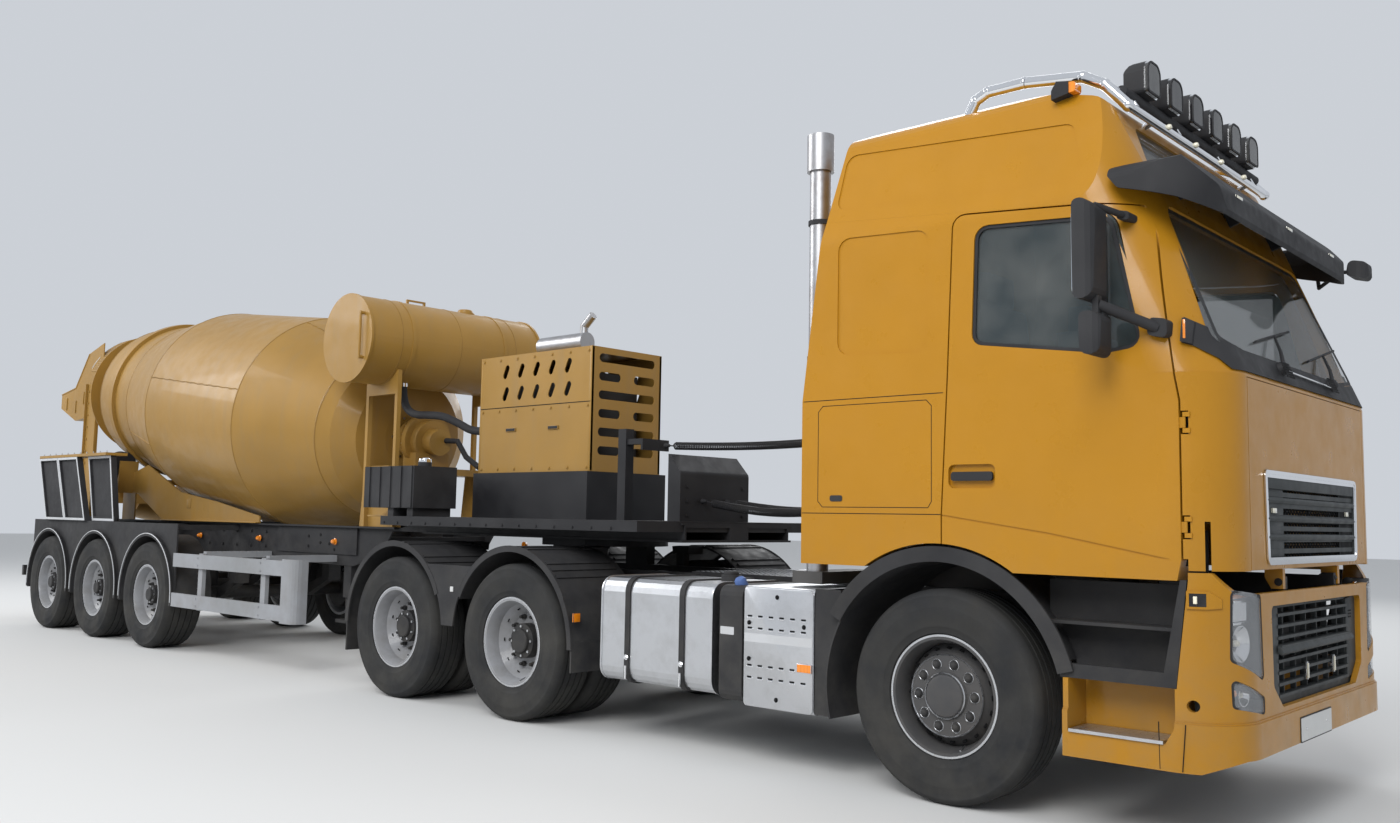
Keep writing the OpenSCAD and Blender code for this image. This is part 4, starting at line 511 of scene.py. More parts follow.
class Fitting:
    """One piece of the scene: shapes gathered in a mesh until it is fitted to the body that carries it."""

    def __init__(self, name, body, *finishes):
        self.name = name
        self.body = body
        self.finishes = list(finishes)
        self.mesh = bmesh.new()

    def coat(self, faces, finish):
        index = self.finishes.index(finish) if finish else 0
        for face in faces:
            face.material_index = index
        return faces

    def walls(self, rings, loop=False):
        """The faces between rings with as many points each. A loop joins the last ring to the first."""
        faces = []
        for first, second in zip(rings, rings[1:] + (rings[:1] if loop else [])):
            for i in range(len(first)):
                j = (i + 1) % len(first)
                corners = list(dict.fromkeys((first[i], first[j], second[j], second[i])))
                if len(corners) > 2:
                    faces.append(self.mesh.faces.new(corners))
        return faces

    def plate(self, rows, ends, axis, finish=None, edge=0.0):
        """A plate or bar: an outline across an axis, between two places along it."""
        make = self.mesh.verts.new
        rings = [[make(PLACE[axis](a, b, t)) for a, b in rows] for t in ends]
        faces = [self.mesh.faces.new(ring) for ring in rings] + self.walls(rings)
        self.coat(faces, finish)
        if edge:
            edges = list({e for face in faces for e in face.edges})
            bmesh.ops.bevel(self.mesh, geom=edges, offset=edge, segments=2, affect="EDGES", profile=0.5,
                            clamp_overlap=True)
        return self

    def box(self, x, y, z, finish=None, edge=0.0):
        rows = [(x[0], z[0]), (x[1], z[0]), (x[1], z[1]), (x[0], z[1])]
        return self.plate(rows, y, "y", finish, edge)

    def band(self, outer, inner, ends, axis, finish=None, place=None):
        """A flat ring between two outlines with as many points."""
        place = place or PLACE[axis]
        make = self.mesh.verts.new
        rings = [[make(place(a, b, t)) for a, b in rows] for rows, t in
                 ((outer, ends[0]), (outer, ends[1]), (inner, ends[1]), (inner, ends[0]))]
        self.coat(self.walls(rings, True), finish)
        return self

    def tube(self, points, radius, finish=None, sides=10):
        points = [Vector(point) for point in points]
        last = len(points) - 1
        rings = []
        across = None
        for i, point in enumerate(points):
            ahead = (points[min(i + 1, last)] - points[max(i - 1, 0)]).normalized()
            across = ahead.orthogonal() if across is None else across - across.project(ahead)
            across.normalize()
            side = ahead.cross(across)
            size = radius(i / last) if callable(radius) else radius
            angles = [TAU * k / sides for k in range(sides)]
            rings.append([self.mesh.verts.new(point + size * (math.cos(a) * across + math.sin(a) * side))
                          for a in angles])
        faces = [self.mesh.faces.new(rings[0]), self.mesh.faces.new(rings[-1])] + self.walls(rings)
        self.coat(faces, finish)
        return self

    def turned(self, rows, centre, axis, finish=None, steps=48, loop=False):
        """A turned shape: rows are radius and place along the axis. A loop closes on itself."""
        along = Vector(axis).normalized()
        across = along.orthogonal().normalized()
        side = along.cross(across)
        centre = Vector(centre)
        rings = []
        for radius, place in rows:
            heart = centre + along * place
            if radius == 0:
                rings.append([self.mesh.verts.new(heart)] * steps)
                continue
            angles = [TAU * k / steps for k in range(steps)]
            rings.append([self.mesh.verts.new(heart + radius * (math.cos(a) * across + math.sin(a) * side))
                          for a in angles])
        self.coat(self.walls(rings, loop), finish)
        return self

    def strip(self, lines, finish=None):
        """A closed strip with a line of points along each of its corners."""
        edges = [[self.mesh.verts.new(point) for point in line] for line in lines]
        faces = [self.mesh.faces.new((a[i], a[i + 1], b[i + 1], b[i]))
                 for a, b in zip(edges, edges[1:] + edges[:1]) for i in range(len(a) - 1)]
        faces += [self.mesh.faces.new([edge[i] for edge in edges]) for i in (0, -1)]
        return self.coat(faces, finish)

    def take(self, mesh, finish=None, place=None):
        """Adds a plain mesh, moved by a matrix."""
        start = len(self.mesh.faces)
        mesh = mesh.copy()
        if place is not None:
            mesh.transform(place)
        self.mesh.from_mesh(mesh)
        self.mesh.faces.ensure_lookup_table()
        self.coat(self.mesh.faces[start:], finish)
        bpy.data.meshes.remove(mesh)
        return self

    def mirrored(self):
        """Adds the same on the other side of the vehicle."""
        copy = bmesh.ops.duplicate(self.mesh,
                                   geom=self.mesh.verts[:] + self.mesh.edges[:] + self.mesh.faces[:])
        for item in copy["geom"]:
            if isinstance(item, bmesh.types.BMVert):
                item.co.y = -item.co.y
        return self

    def on_side(self, sign):
        """Moves the shapes across to the left where the sign is negative."""
        self.mesh.transform(Matrix.Scale(sign, 4, (0, 1, 0)))
        return self

    def plain(self):
        """The shapes as a mesh in millimetres, for a tree to repeat."""
        bmesh.ops.recalc_face_normals(self.mesh, faces=self.mesh.faces[:])
        mesh = bpy.data.meshes.new(self.name)
        self.mesh.to_mesh(mesh)
        self.mesh.free()
        return mesh

    def fit(self, sharp=35):
        """Turns the shapes into an object at the origin that rides on its body, if it has one."""
        self.mesh.transform(Matrix.Translation((AXLE_X, 0, 0)) @ Matrix.Scale(0.001, 4))
        bmesh.ops.recalc_face_normals(self.mesh, faces=self.mesh.faces[:])
        mesh = bpy.data.meshes.new(self.name)
        self.mesh.to_mesh(mesh)
        self.mesh.free()
        for finish in self.finishes:
            mesh.materials.append(FINISHES[finish])
        mesh.shade_smooth()
        mesh.set_sharp_from_angle(angle=math.radians(sharp))
        piece = bpy.data.objects.new(self.name, mesh)
        bpy.context.scene.collection.objects.link(piece)
        if self.body:
            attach(piece, self.body)
        return piece


# Node trees for what repeats
def new_tree(name, *inputs):
    tree = bpy.data.node_groups.new(name, "GeometryNodeTree")
    tree.interface.new_socket("Geometry", in_out="INPUT", socket_type="NodeSocketGeometry")
    for label, kind in inputs:
        tree.interface.new_socket(label, in_out="INPUT", socket_type=kind)
    tree.interface.new_socket("Material", in_out="INPUT", socket_type="NodeSocketMaterial")
    tree.interface.new_socket("Geometry", in_out="OUTPUT", socket_type="NodeSocketGeometry")
    return tree, tree.nodes.new("NodeGroupInput"), tree.nodes.new("NodeGroupOutput")


def end_tree(tree, start, end, instances):
    realize = tree.nodes.new("GeometryNodeRealizeInstances")
    coat = tree.nodes.new("GeometryNodeSetMaterial")
    tree.links.new(instances, realize.inputs[0])
    tree.links.new(realize.outputs[0], coat.inputs["Geometry"])
    tree.links.new(start.outputs["Material"], coat.inputs["Material"])
    tree.links.new(coat.outputs[0], end.inputs[0])
    return tree


def vector_of(tree, **parts):
    node = tree.nodes.new("ShaderNodeCombineXYZ")
    for name, socket in parts.items():
        tree.links.new(socket, node.inputs[name])
    return node.outputs[0]


def ring_tree():
    """Copies the seed round the Y axis."""
    tree, start, end = new_tree("ring_of_copies", ("Copies", "NodeSocketInt"),
                                ("First Angle", "NodeSocketFloat"))
    points = tree.nodes.new("GeometryNodePoints")
    tree.links.new(start.outputs["Copies"], points.inputs["Count"])
    index = tree.nodes.new("GeometryNodeInputIndex").outputs[0]
    step = math_of(tree, "DIVIDE", TAU, start.outputs["Copies"])
    angle = math_of(tree, "ADD", math_of(tree, "MULTIPLY", index, step), start.outputs["First Angle"])
    turn = tree.nodes.new("FunctionNodeEulerToRotation")
    tree.links.new(vector_of(tree, Y=angle), turn.inputs[0])
    copies = tree.nodes.new("GeometryNodeInstanceOnPoints")
    tree.links.new(points.outputs[0], copies.inputs["Points"])
    tree.links.new(start.outputs["Geometry"], copies.inputs["Instance"])
    tree.links.new(turn.outputs[0], copies.inputs["Rotation"])
    return end_tree(tree, start, end, copies.outputs[0])


def row_tree():
    """Copies the seed in columns and rows."""
    tree, start, end = new_tree("rows_of_copies", ("Columns", "NodeSocketInt"), ("Rows", "NodeSocketInt"),
                                ("Column Step", "NodeSocketVector"), ("Row Step", "NodeSocketVector"))
    points = tree.nodes.new("GeometryNodePoints")
    count = math_of(tree, "MULTIPLY", start.outputs["Columns"], start.outputs["Rows"])
    tree.links.new(count, points.inputs["Count"])
    index = tree.nodes.new("GeometryNodeInputIndex").outputs[0]
    column = math_of(tree, "MODULO", index, start.outputs["Columns"])
    row = math_of(tree, "FLOOR", math_of(tree, "DIVIDE", index, start.outputs["Columns"]), 0.0)
    steps = []
    for number, name in ((column, "Column Step"), (row, "Row Step")):
        scale = add(tree, "ShaderNodeVectorMath", operation="SCALE")
        tree.links.new(start.outputs[name], scale.inputs[0])
        tree.links.new(number, scale.inputs["Scale"])
        steps.append(scale.outputs[0])
    total = add(tree, "ShaderNodeVectorMath", operation="ADD")
    tree.links.new(steps[0], total.inputs[0])
    tree.links.new(steps[1], total.inputs[1])
    tree.links.new(total.outputs[0], points.inputs["Position"])
    copies = tree.nodes.new("GeometryNodeInstanceOnPoints")
    tree.links.new(points.outputs[0], copies.inputs["Points"])
    tree.links.new(start.outputs["Geometry"], copies.inputs["Instance"])
    return end_tree(tree, start, end, copies.outputs[0])


def bolt_tree():
    """Puts a hexagon bolt with its washer on each point, standing along the point's facing."""
    tree, start, end = new_tree("bolts_on_points", ("Head Width", "NodeSocketFloat"),
                                ("Head Height", "NodeSocketFloat"))
    width, height = start.outputs["Head Width"], start.outputs["Head Height"]
    join = tree.nodes.new("GeometryNodeJoinGeometry")
    for sides, radius, depth in ((6, 0.5, 1.0), (12, 0.78, 0.25)):
        head = tree.nodes.new("GeometryNodeMeshCylinder")
        head.inputs["Vertices"].default_value = sides
        tree.links.new(math_of(tree, "MULTIPLY", width, radius), head.inputs["Radius"])
        tall = math_of(tree, "MULTIPLY", height, depth)
        tree.links.new(tall, head.inputs["Depth"])
        lift = tree.nodes.new("GeometryNodeTransform")
        tree.links.new(head.outputs[0], lift.inputs["Geometry"])
        tree.links.new(vector_of(tree, Z=math_of(tree, "MULTIPLY", tall, 0.5)), lift.inputs["Translation"])
        tree.links.new(lift.outputs[0], join.inputs[0])
    facing = tree.nodes.new("GeometryNodeInputNamedAttribute")
    facing.data_type = "FLOAT_VECTOR"
    facing.inputs["Name"].default_value = "facing"
    align = tree.nodes.new("FunctionNodeAlignRotationToVector")
    align.axis = "Z"
    tree.links.new(facing.outputs["Attribute"], align.inputs["Vector"])
    copies = tree.nodes.new("GeometryNodeInstanceOnPoints")
    tree.links.new(start.outputs["Geometry"], copies.inputs["Points"])
    tree.links.new(join.outputs[0], copies.inputs["Instance"])
    tree.links.new(align.outputs[0], copies.inputs["Rotation"])
    return end_tree(tree, start, end, copies.outputs[0])


TREES = {}


def grown(seed, kind, **values):
    """Runs one of the trees over a seed mesh and returns the plain mesh that it makes."""
    if not TREES:
        TREES.update(ring=ring_tree(), rows=row_tree(), bolts=bolt_tree())
    tree = TREES[kind]
    holder = bpy.data.objects.new("seed", seed)
    bpy.context.scene.collection.objects.link(holder)
    modifier = holder.modifiers.new("repeat", "NODES")
    modifier.node_group = tree
    for item in tree.interface.items_tree:
        key = item.name.replace(" ", "_").lower()
        if item.in_out == "INPUT" and key in values:
            modifier[item.identifier] = values[key]
    depsgraph = bpy.context.evaluated_depsgraph_get()
    mesh = bpy.data.meshes.new_from_object(holder.evaluated_get(depsgraph))
    mesh.materials.clear()
    holder.modifiers.remove(modifier)
    bpy.data.objects.remove(holder)
    return mesh


def ring_of(seed, copies, first=0.0):
    return grown(seed.plain(), "ring", copies=copies, first_angle=first)


def rows_of(seed, columns, column_step, rows=1, row_step=(0, 0, 0)):
    return grown(seed.plain(), "rows", columns=columns, rows=rows, column_step=column_step, row_step=row_step)


def bolts(fitting, points, facing, width, height, finish=None):
    """Adds bolts at points in millimetres, all standing along one direction."""
    mesh = bpy.data.meshes.new("bolt_places")
    mesh.from_pydata([tuple(point) for point in points], [], [])
    attribute = mesh.attributes.new("facing", "FLOAT_VECTOR", "POINT")
    for item in attribute.data:
        item.vector = facing
    return fitting.take(grown(mesh, "bolts", head_width=width, head_height=height), finish)


# Leads between the tractor and the trailer
LEADS = (
    ("lead_upper_coil", "lead_upper", -220, 1900, -1070, -2850, 25),
    ("lead_lower_coil", "lead_lower", 120, 1500, -1070, -2549, 60),
    ("lead_third_coil", None, -140, 1500, -1070, -2549, 75),
)


PLUG_REACH = 30
STRAIGHT_END = 80


def coil_points(y, z, start, end, sag, radius, pitch):
    """Points of a coiled lead: straight out of its plug, round the coil, and straight into its socket."""
    length = start - end
    turns = int((length - 2 * STRAIGHT_END) / pitch)
    steps = 14
    points = [Vector((start, y, z)), Vector((start - PLUG_REACH, y, z))]
    for i in range(turns * steps + 1):
        part = i / (turns * steps)
        x = start - STRAIGHT_END - part * (length - 2 * STRAIGHT_END)
        swell = min(1, i / steps, turns - i / steps)
        drop = sag * math.sin(math.pi * (start - x) / length)
        angle = TAU * i / steps
        points.append(Vector((x, y + radius * swell * math.cos(angle),
                              z - drop + radius * swell * math.sin(angle))))
    points += [Vector((end + PLUG_REACH, y, z)), Vector((end, y, z))]
    return points


def make_leads(settings):
    wire, radius, pitch = (settings.wire * 1000, settings.coil_radius * 1000, settings.pitch * 1000)
    for name, node, y, z, start, end, sag in LEADS:
        points = coil_points(y, z, start, end, sag, radius, pitch)
        coil = Fitting(name, None, "lead_rubber")
        coil.tube(points, wire / 2, "lead_rubber", 8)
        plugs = Fitting(name + "_plugs", "tractor", "moulded_black", "chrome")
        plugs.tube([(start + 10, y, z), (start - 34, y, z)], lambda t: 17 - 7 * t, "moulded_black", 16)
        plug = plugs.fit()
        socket = Fitting(name + "_socket", "trailer", "moulded_black", "chrome")
        socket.tube([(end - 10, y, z), (end + 34, y, z)], lambda t: 19 - 8 * t, "moulded_black", 16)
        socket.fit()
        piece = coil.fit(60)
        at(start, y, z)
        at(end, y, z)
        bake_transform(piece)
        if node:
            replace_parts(piece, node)
        path = [at(*point) for point in points]
        length = sum((a - b).length for a, b in zip(path, path[1:]))
        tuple(path[0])


# Wheels. Each kind is drawn about its own axle, with y = 0 at the outside of its rim
BEAD_R = 286
RIM_EDGE_R = 302
TYRE_R = 525
TWIN_PITCH = 342
WHEEL_KINDS = {
    "front": dict(rim=262, tyre=315, disc=38, edge=112, hub=8, hub_r=118, back=222, finish="rim_dark",
                  twin=False),
    "drive": dict(rim=262, tyre=315, disc=165, edge=92, hub=62, hub_r=118, back=562, finish="rim_silver",
                  twin=True),
    "trail": dict(rim=324, tyre=385, disc=128, edge=80, hub=20, hub_r=92, back=342, finish="rim_silver",
                  twin=False),
}


def tyre_rows(width, seat, groove):
    """The section of a tyre: bead, ribbed sidewall, shoulder, and a tread with four grooves."""
    half = [(BEAD_R + 1, seat), (RIM_EDGE_R + 1, seat + 1), (RIM_EDGE_R + 5, 0.44 * width),
            (324, 0.452 * width), (338, 0.47 * width), (342, 0.476 * width), (348, 0.474 * width),
            (380, 0.489 * width), (412, 0.499 * width), (428, 0.4995 * width), (431, 0.5 * width),
            (437, 0.5 * width), (440, 0.498 * width), (466, 0.490 * width), (486, 0.478 * width),
            (489, 0.480 * width), (494, 0.478 * width), (508, 0.446 * width), (518, 0.405 * width),
            (TYRE_R - 1, 0.362 * width), (TYRE_R, 0.34 * width)]
    tread = []
    for place in (0.235, 0.08):
        centre = place * width
        tread += [(TYRE_R, centre + 6), (TYRE_R - groove, centre + 4), (TYRE_R - groove, centre - 4),
                  (TYRE_R, centre - 6)]
    side = half + tread
    return side + [(r, -y) for r, y in reversed(side)]


def rim_rows(width, start):
    rows = [(RIM_EDGE_R, 0), (RIM_EDGE_R, 10), (BEAD_R, 12), (BEAD_R - 2, 60), (BEAD_R - 20, 80),
            (BEAD_R - 20, width - 80), (BEAD_R - 2, width - 60), (BEAD_R, width - 12),
            (RIM_EDGE_R, width - 10), (RIM_EDGE_R, width), (BEAD_R - 10, width), (BEAD_R - 16, width - 10),
            (BEAD_R - 34, width - 80), (BEAD_R - 34, 80), (BEAD_R - 17, 14), (BEAD_R - 10, 0)]
    return [(r, start + y) for r, y in rows]


def build_wheel(kind, settings):
    spec = WHEEL_KINDS[kind]
    finish, disc, edge, hub, hub_r = (spec[key] for key in ("finish", "disc", "edge", "hub", "hub_r"))
    wheel = Fitting("wheel_" + kind, None, finish, "tyre_rubber", "machined", "moulded_black", "slot_dark",
                    "chassis_black")
    axis = (0, 1, 0)
    places = (0, TWIN_PITCH) if spec["twin"] else (0,)
    groove = settings.groove * 1000
    for start in places:
        wheel.turned(rim_rows(spec["rim"], start), (0, 0, 0), axis, finish, 72, True)
        wheel.turned(tyre_rows(spec["tyre"], spec["rim"] / 2 - 12.5, groove), (0, start + spec["rim"] / 2, 0),
                     axis, "tyre_rubber", 96, True)
        # Lugs that bite into the shoulders
        for side in (-1, 1):
            lug = Fitting("lug", None, "tyre_rubber")
            y0 = start + spec["rim"] / 2 + side * 0.345 * spec["tyre"]
            y1 = start + spec["rim"] / 2 + side * 0.462 * spec["tyre"]
            lug.plate([(-9, 500), (9, 500), (7, TYRE_R - 1), (-7, TYRE_R - 1)], sorted((y0, y1)), "y")
            for vertex in lug.mesh.verts:
                if abs(vertex.co.y - y1) < 1 and vertex.co.z > 505:
                    vertex.co.z -= 24
            wheel.take(ring_of(lug, settings.lugs), "tyre_rubber")
    # Bright edge of the outer rim
    wheel.turned([(RIM_EDGE_R - 2, -1), (RIM_EDGE_R + 0.5, 3), (RIM_EDGE_R - 4, 5), (BEAD_R + 6, 2),
                  (BEAD_R + 4, -1)],
                 (0, 0, 0), axis, "machined", 72, True)
    # Disc, hub and brake drum
    wheel.turned([(60, disc), (190, disc), (206, disc + 0.25 * (edge - disc)), (252, edge), (264, edge),
                  (264, edge + 14), (250, edge + 14), (200, disc + 14 + 0.25 * (edge - disc)),
                  (188, disc + 14), (60, disc + 14)],
                 (0, 0, 0), axis, finish, 72, True)
    wheel.turned([(0, spec["back"]), (205, spec["back"]), (205, spec["back"] - 130),
                  (hub_r, spec["back"] - 130), (hub_r, disc)], (0, 0, 0), axis, "chassis_black", 48)
    hole_r = 226
    hole_y = disc + (edge - disc) * 0.55
    lean = math.atan2(edge - disc, 60)
    hole = Fitting("hole", None, "slot_dark")
    hole.plate(rounded(oblong(-11, -17, 11, 17, 10), 3), (-3, 3), "y")
    hole.mesh.transform(Matrix.Translation((0, hole_y, hole_r)) @ Matrix.Rotation(lean, 4, "X"))
    if kind == "front":
        wheel.take(ring_of(hole, 20), "slot_dark")
        # Cover with a blank cap and ten domed nut covers
        wheel.turned([(0, 4), (88, 4), (100, 8), (104, 16), (112, 18), (118, 30), (196, 34), (200, 38)],
                     (0, 0, 0), axis, finish, 64)
        wheel.turned([(106, 15), (110, 10), (114, 15), (110, 20)], (0, 0, 0), axis, "machined", 64, True)
        wheel.turned([(196, 34), (200, 28), (204, 34), (200, 39)], (0, 0, 0), axis, "machined", 64, True)
        nut = Fitting("nut", None, "moulded_black")
        nut.turned([(0, 10), (9, 11), (16, 16), (20, 24), (21, 38)], (0, 0, 157), axis, None, 20)
        wheel.take(ring_of(nut, 10), "moulded_black")
        seat = Fitting("seat", None, "machined")
        seat.turned([(23, 31), (26, 29), (28, 31), (26, 36)], (0, 0, 157), axis, None, 24, True)
        wheel.take(ring_of(seat, 10), "machined")
    else:
        wheel.take(ring_of(hole, 10), "slot_dark")
        wheel.turned([(0, hub), (hub_r * 0.62, hub), (hub_r * 0.68, hub + 6), (hub_r * 0.7, hub + 24),
                      (hub_r, hub + 30), (hub_r, disc)], (0, 0, 0), axis, "chassis_black", 48)
        stud = Fitting("stud", None, "chassis_black")
        stud.plate(hexagon(19, 0, 167), (disc - 24, disc), "y", None, 2)
        stud.turned([(0, disc - 48), (9, disc - 48), (11, disc - 45), (11, disc - 20)], (0, 0, 167), axis,
                    None, 12)
        wheel.take(ring_of(stud, 10), "chassis_black")
        bolt = Fitting("bolt", None, "machined")
        bolt.plate(hexagon(9, 0, hub_r * 0.84), (hub + 19, hub + 31), "y")
        wheel.take(ring_of(bolt, 8, 0.3), "machined")
    # Valve
    wheel.tube([(0, 60, -252), (0, 30, -262), (0, 6, -270)], 5, "machined", 8)
    bmesh.ops.recalc_face_normals(wheel.mesh, faces=wheel.mesh.faces[:])
    return wheel


def make_wheels(settings):
    tracks = {"front": 1170, "drive": 1225, "trail": 1245}
    places = {"front": [0], "drive": DRIVE_X, "trail": TRAIL_X}
    for kind in WHEEL_KINDS:
        template = build_wheel(kind, settings)
        mesh = bpy.data.meshes.new(template.name)
        template.mesh.to_mesh(mesh)
        template.mesh.free()
        for number, x in enumerate(places[kind], 1):
            for side, sign in (("right", -1), ("left", 1)):
                name = f"wheel_{kind}_{side}" if kind == "front" else f"wheel_{kind}_{number}_{side}"
                wheel = Fitting(name + "_dressed", name, *template.finishes)
                wheel.mesh.from_mesh(mesh)
                turn = Matrix.Rotation(0.35 * number * sign, 4, "Y")
                flip = Matrix.Scale(-sign, 4, (0, 1, 0)) if sign > 0 else Matrix.Identity(4)
                wheel.mesh.transform(Matrix.Translation((x, sign * tracks[kind], AXLE_Z)) @ flip @ turn)
                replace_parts(wheel.fit(32), name)
        bpy.data.meshes.remove(mesh)


# Front of the cab
def make_lamps():
    lamps = Fitting("headlamp_reflectors", "tractor", "chrome", "lamp_bulb", "amber_lens", "moulded_black")
    for y, z, size, deep in ((-1000, 880, 74, 46), (-990, 662, 44, 34)):
        centre, out = (1362 - (y < -995) * 4, y, z), (1, -0.16, 0)
        rows = [(0, -deep)] + [(size * k / 6, -deep + deep * (k / 6) ** 2) for k in range(1, 7)]
        back = [(size + 4, 0), (size + 4, -4), (size * 0.6, -deep * 0.7), (0, -deep - 5)]
        lamps.turned(rows + back, centre, out, "chrome", 32)
        lamps.turned([(0, -8), (11, -10), (15, -18), (15, -deep + 4), (0, -deep + 4)], centre, out,
                     "lamp_bulb", 20)
    # Upper part: flutes behind the running lamp, with the turn lamp between two bars
    flute = Fitting("flute", None, "chrome")
    flute.plate([(0, 0), (13, 0), (6.5, 9)], (975, 1052), "z")
    flute.mesh.transform(Matrix.Rotation(math.radians(-90), 4, "Z"))
    lamps.take(rows_of(flute, 15, (0, -13.5, 0)), "chrome", Matrix.Translation((1340, -890, 0)))
    lamps.box((1336, 1362), (-1100, -890), (962, 972), "chrome", 2)
    lamps.box((1336, 1366), (-1100, -890), (1056, 1066), "chrome", 2)
    lamps.box((1336, 1352), (-1090, -898), (1070, 1094), "amber_lens", 3)
    # Amber bulb beside the fog lamp's bowl
    lamps.turned([(0, 0), (14, -3), (18, -14), (0, -16)], (1352, -1070, 676), (1, -0.3, 0), "amber_lens", 20)
    lamps.mirrored().fit()
    rims = Fitting("headlamp_rims", "tractor", "moulded_black")
    corner_x, corner_y, corner_r = BUMPER_CORNER
    for rows in (HEADLAMP, FOG_LAMP):
        for sign in (-1, 1):
            def place(a, b, t, sign=sign):
                past = max(0.0, a - corner_y)
                return (corner_x + math.sqrt(max(0.0, corner_r ** 2 - past ** 2)) - t, sign * a, b)
            outer, inner = rounded(inset(rows, 1), 5), rounded(inset(rows, 9), 5)
            rims.band(outer, inner, (LAMP_DEPTH, LAMP_DEPTH + 3), "x", None, place)
    rims.fit()
    corner = Fitting("corner_lamp_bulbs", "tractor", "lamp_bulb")
    corner.box((1240, 1256), (-1227, -1219), (1052, 1084), "lamp_bulb", 2)
    corner.mirrored().fit()


def make_nose():
    grille = Fitting("grille_bars", "front_flap", "grille_grey", "slot_dark", "chrome", "lamp_bulb")
    grille.plate([(-722, 1556), (722, 1556), (724, 1616), (-724, 1616)], (1378, 1398), "x", "grille_grey", 4)
    for z in (1336, 1420, 1504):
        grille.plate([(1378, z - 16), (1397, z - 12), (1404, z + 2), (1397, z + 14), (1378, z + 16)],
                     (-716, 716), "y", "grille_grey", 2)
    for sign in (-1, 1):
        grille.box((1376, 1389), sorted((sign * 716, sign * 470)), (1240, 1556), "grille_grey", 3)
    # Fine dark mesh behind the bars
    cell = Fitting("cell", None, "slot_dark")
    cell.band(hexagon(15), hexagon(12.5), (0, 5), "x")
    mesh = rows_of(cell, 21, (0, 45, 0), 12, (0, 0, 26))
    for shift in ((0, 0), (22.5, 13)):
        grille.take(mesh, "slot_dark", Matrix.Translation((1371, -450 + shift[0], 1250 + shift[1])))
    grille.band(rounded([(-748, 1216, 36), (748, 1216, 36), (764, 1636, 26), (-764, 1636, 26)], 6),
                rounded([(-730, 1232, 26), (730, 1232, 26), (744, 1622, 20), (-744, 1622, 20)], 6),
                (1396, 1403), "x", "chrome")
    for y in (-620, 600):
        grille.box((1388, 1396), (y - 34, y + 34), (1444, 1472), "lamp_bulb", 3)
    grille.fit()
    lower = Fitting("lower_grille_trim", "tractor", "grille_grey", "lamp_bulb", "slot_dark", "chrome")
    for y in (-198, 255):
        lower.box((1386, 1400), (y - 12, y + 12), (664, 752), "chrome", 3)
        lower.box((1399, 1404), (y - 9, y + 9), (672, 744), "lamp_bulb", 1)
    for sign in (-1, 1):
        rows = [(570, 608), (640, 614), (742, 690), (752, 1026), (690, 1030), (570, 1018)]
        lower.plate([(sign * a, b) for a, b in rows], (1370, 1381), "x", "grille_grey", 3)
    for z in (916, 932, 948):
        lower.box((1380, 1382.5), (610, 665), (z, z + 8), "slot_dark")
    lower.plate([(1384, 812), (1402, 806), (1412, 818), (1402, 838), (1384, 846)], (-596, 596), "y",
                "grille_grey", 2)
    lower.fit()
    # Blank number plate with its holder on the lip
    plate = Fitting("front_plate", "tractor", "moulded_black", "plate_white", "chrome")
    plate.plate(rounded(oblong(-415, 398, 85, 514, 8)), (1417, 1423), "x", "moulded_black")
    plate.plate(rounded(oblong(-408, 404, 78, 508, 6)), (1422, 1425), "x", "plate_white")
    bolts(plate, [(1425, -330, 456), (1425, 0, 456)], (1, 0, 0), 9, 2.5, "chrome")
    plate.fit()
    # Seams of the lip and its joint with the corner
    seams = Fitting("bumper_seams", "tractor", "slot_dark")
    for x in (1096, 1190):
        seams.plate([(x, 352), (x + 3, 352), (x - 1 + (x > 1150) * 20, 548), (x - 4 + (x > 1150) * 20, 548)],
                    (-1250.6, -1246), "y")
    seams.mirrored().fit()


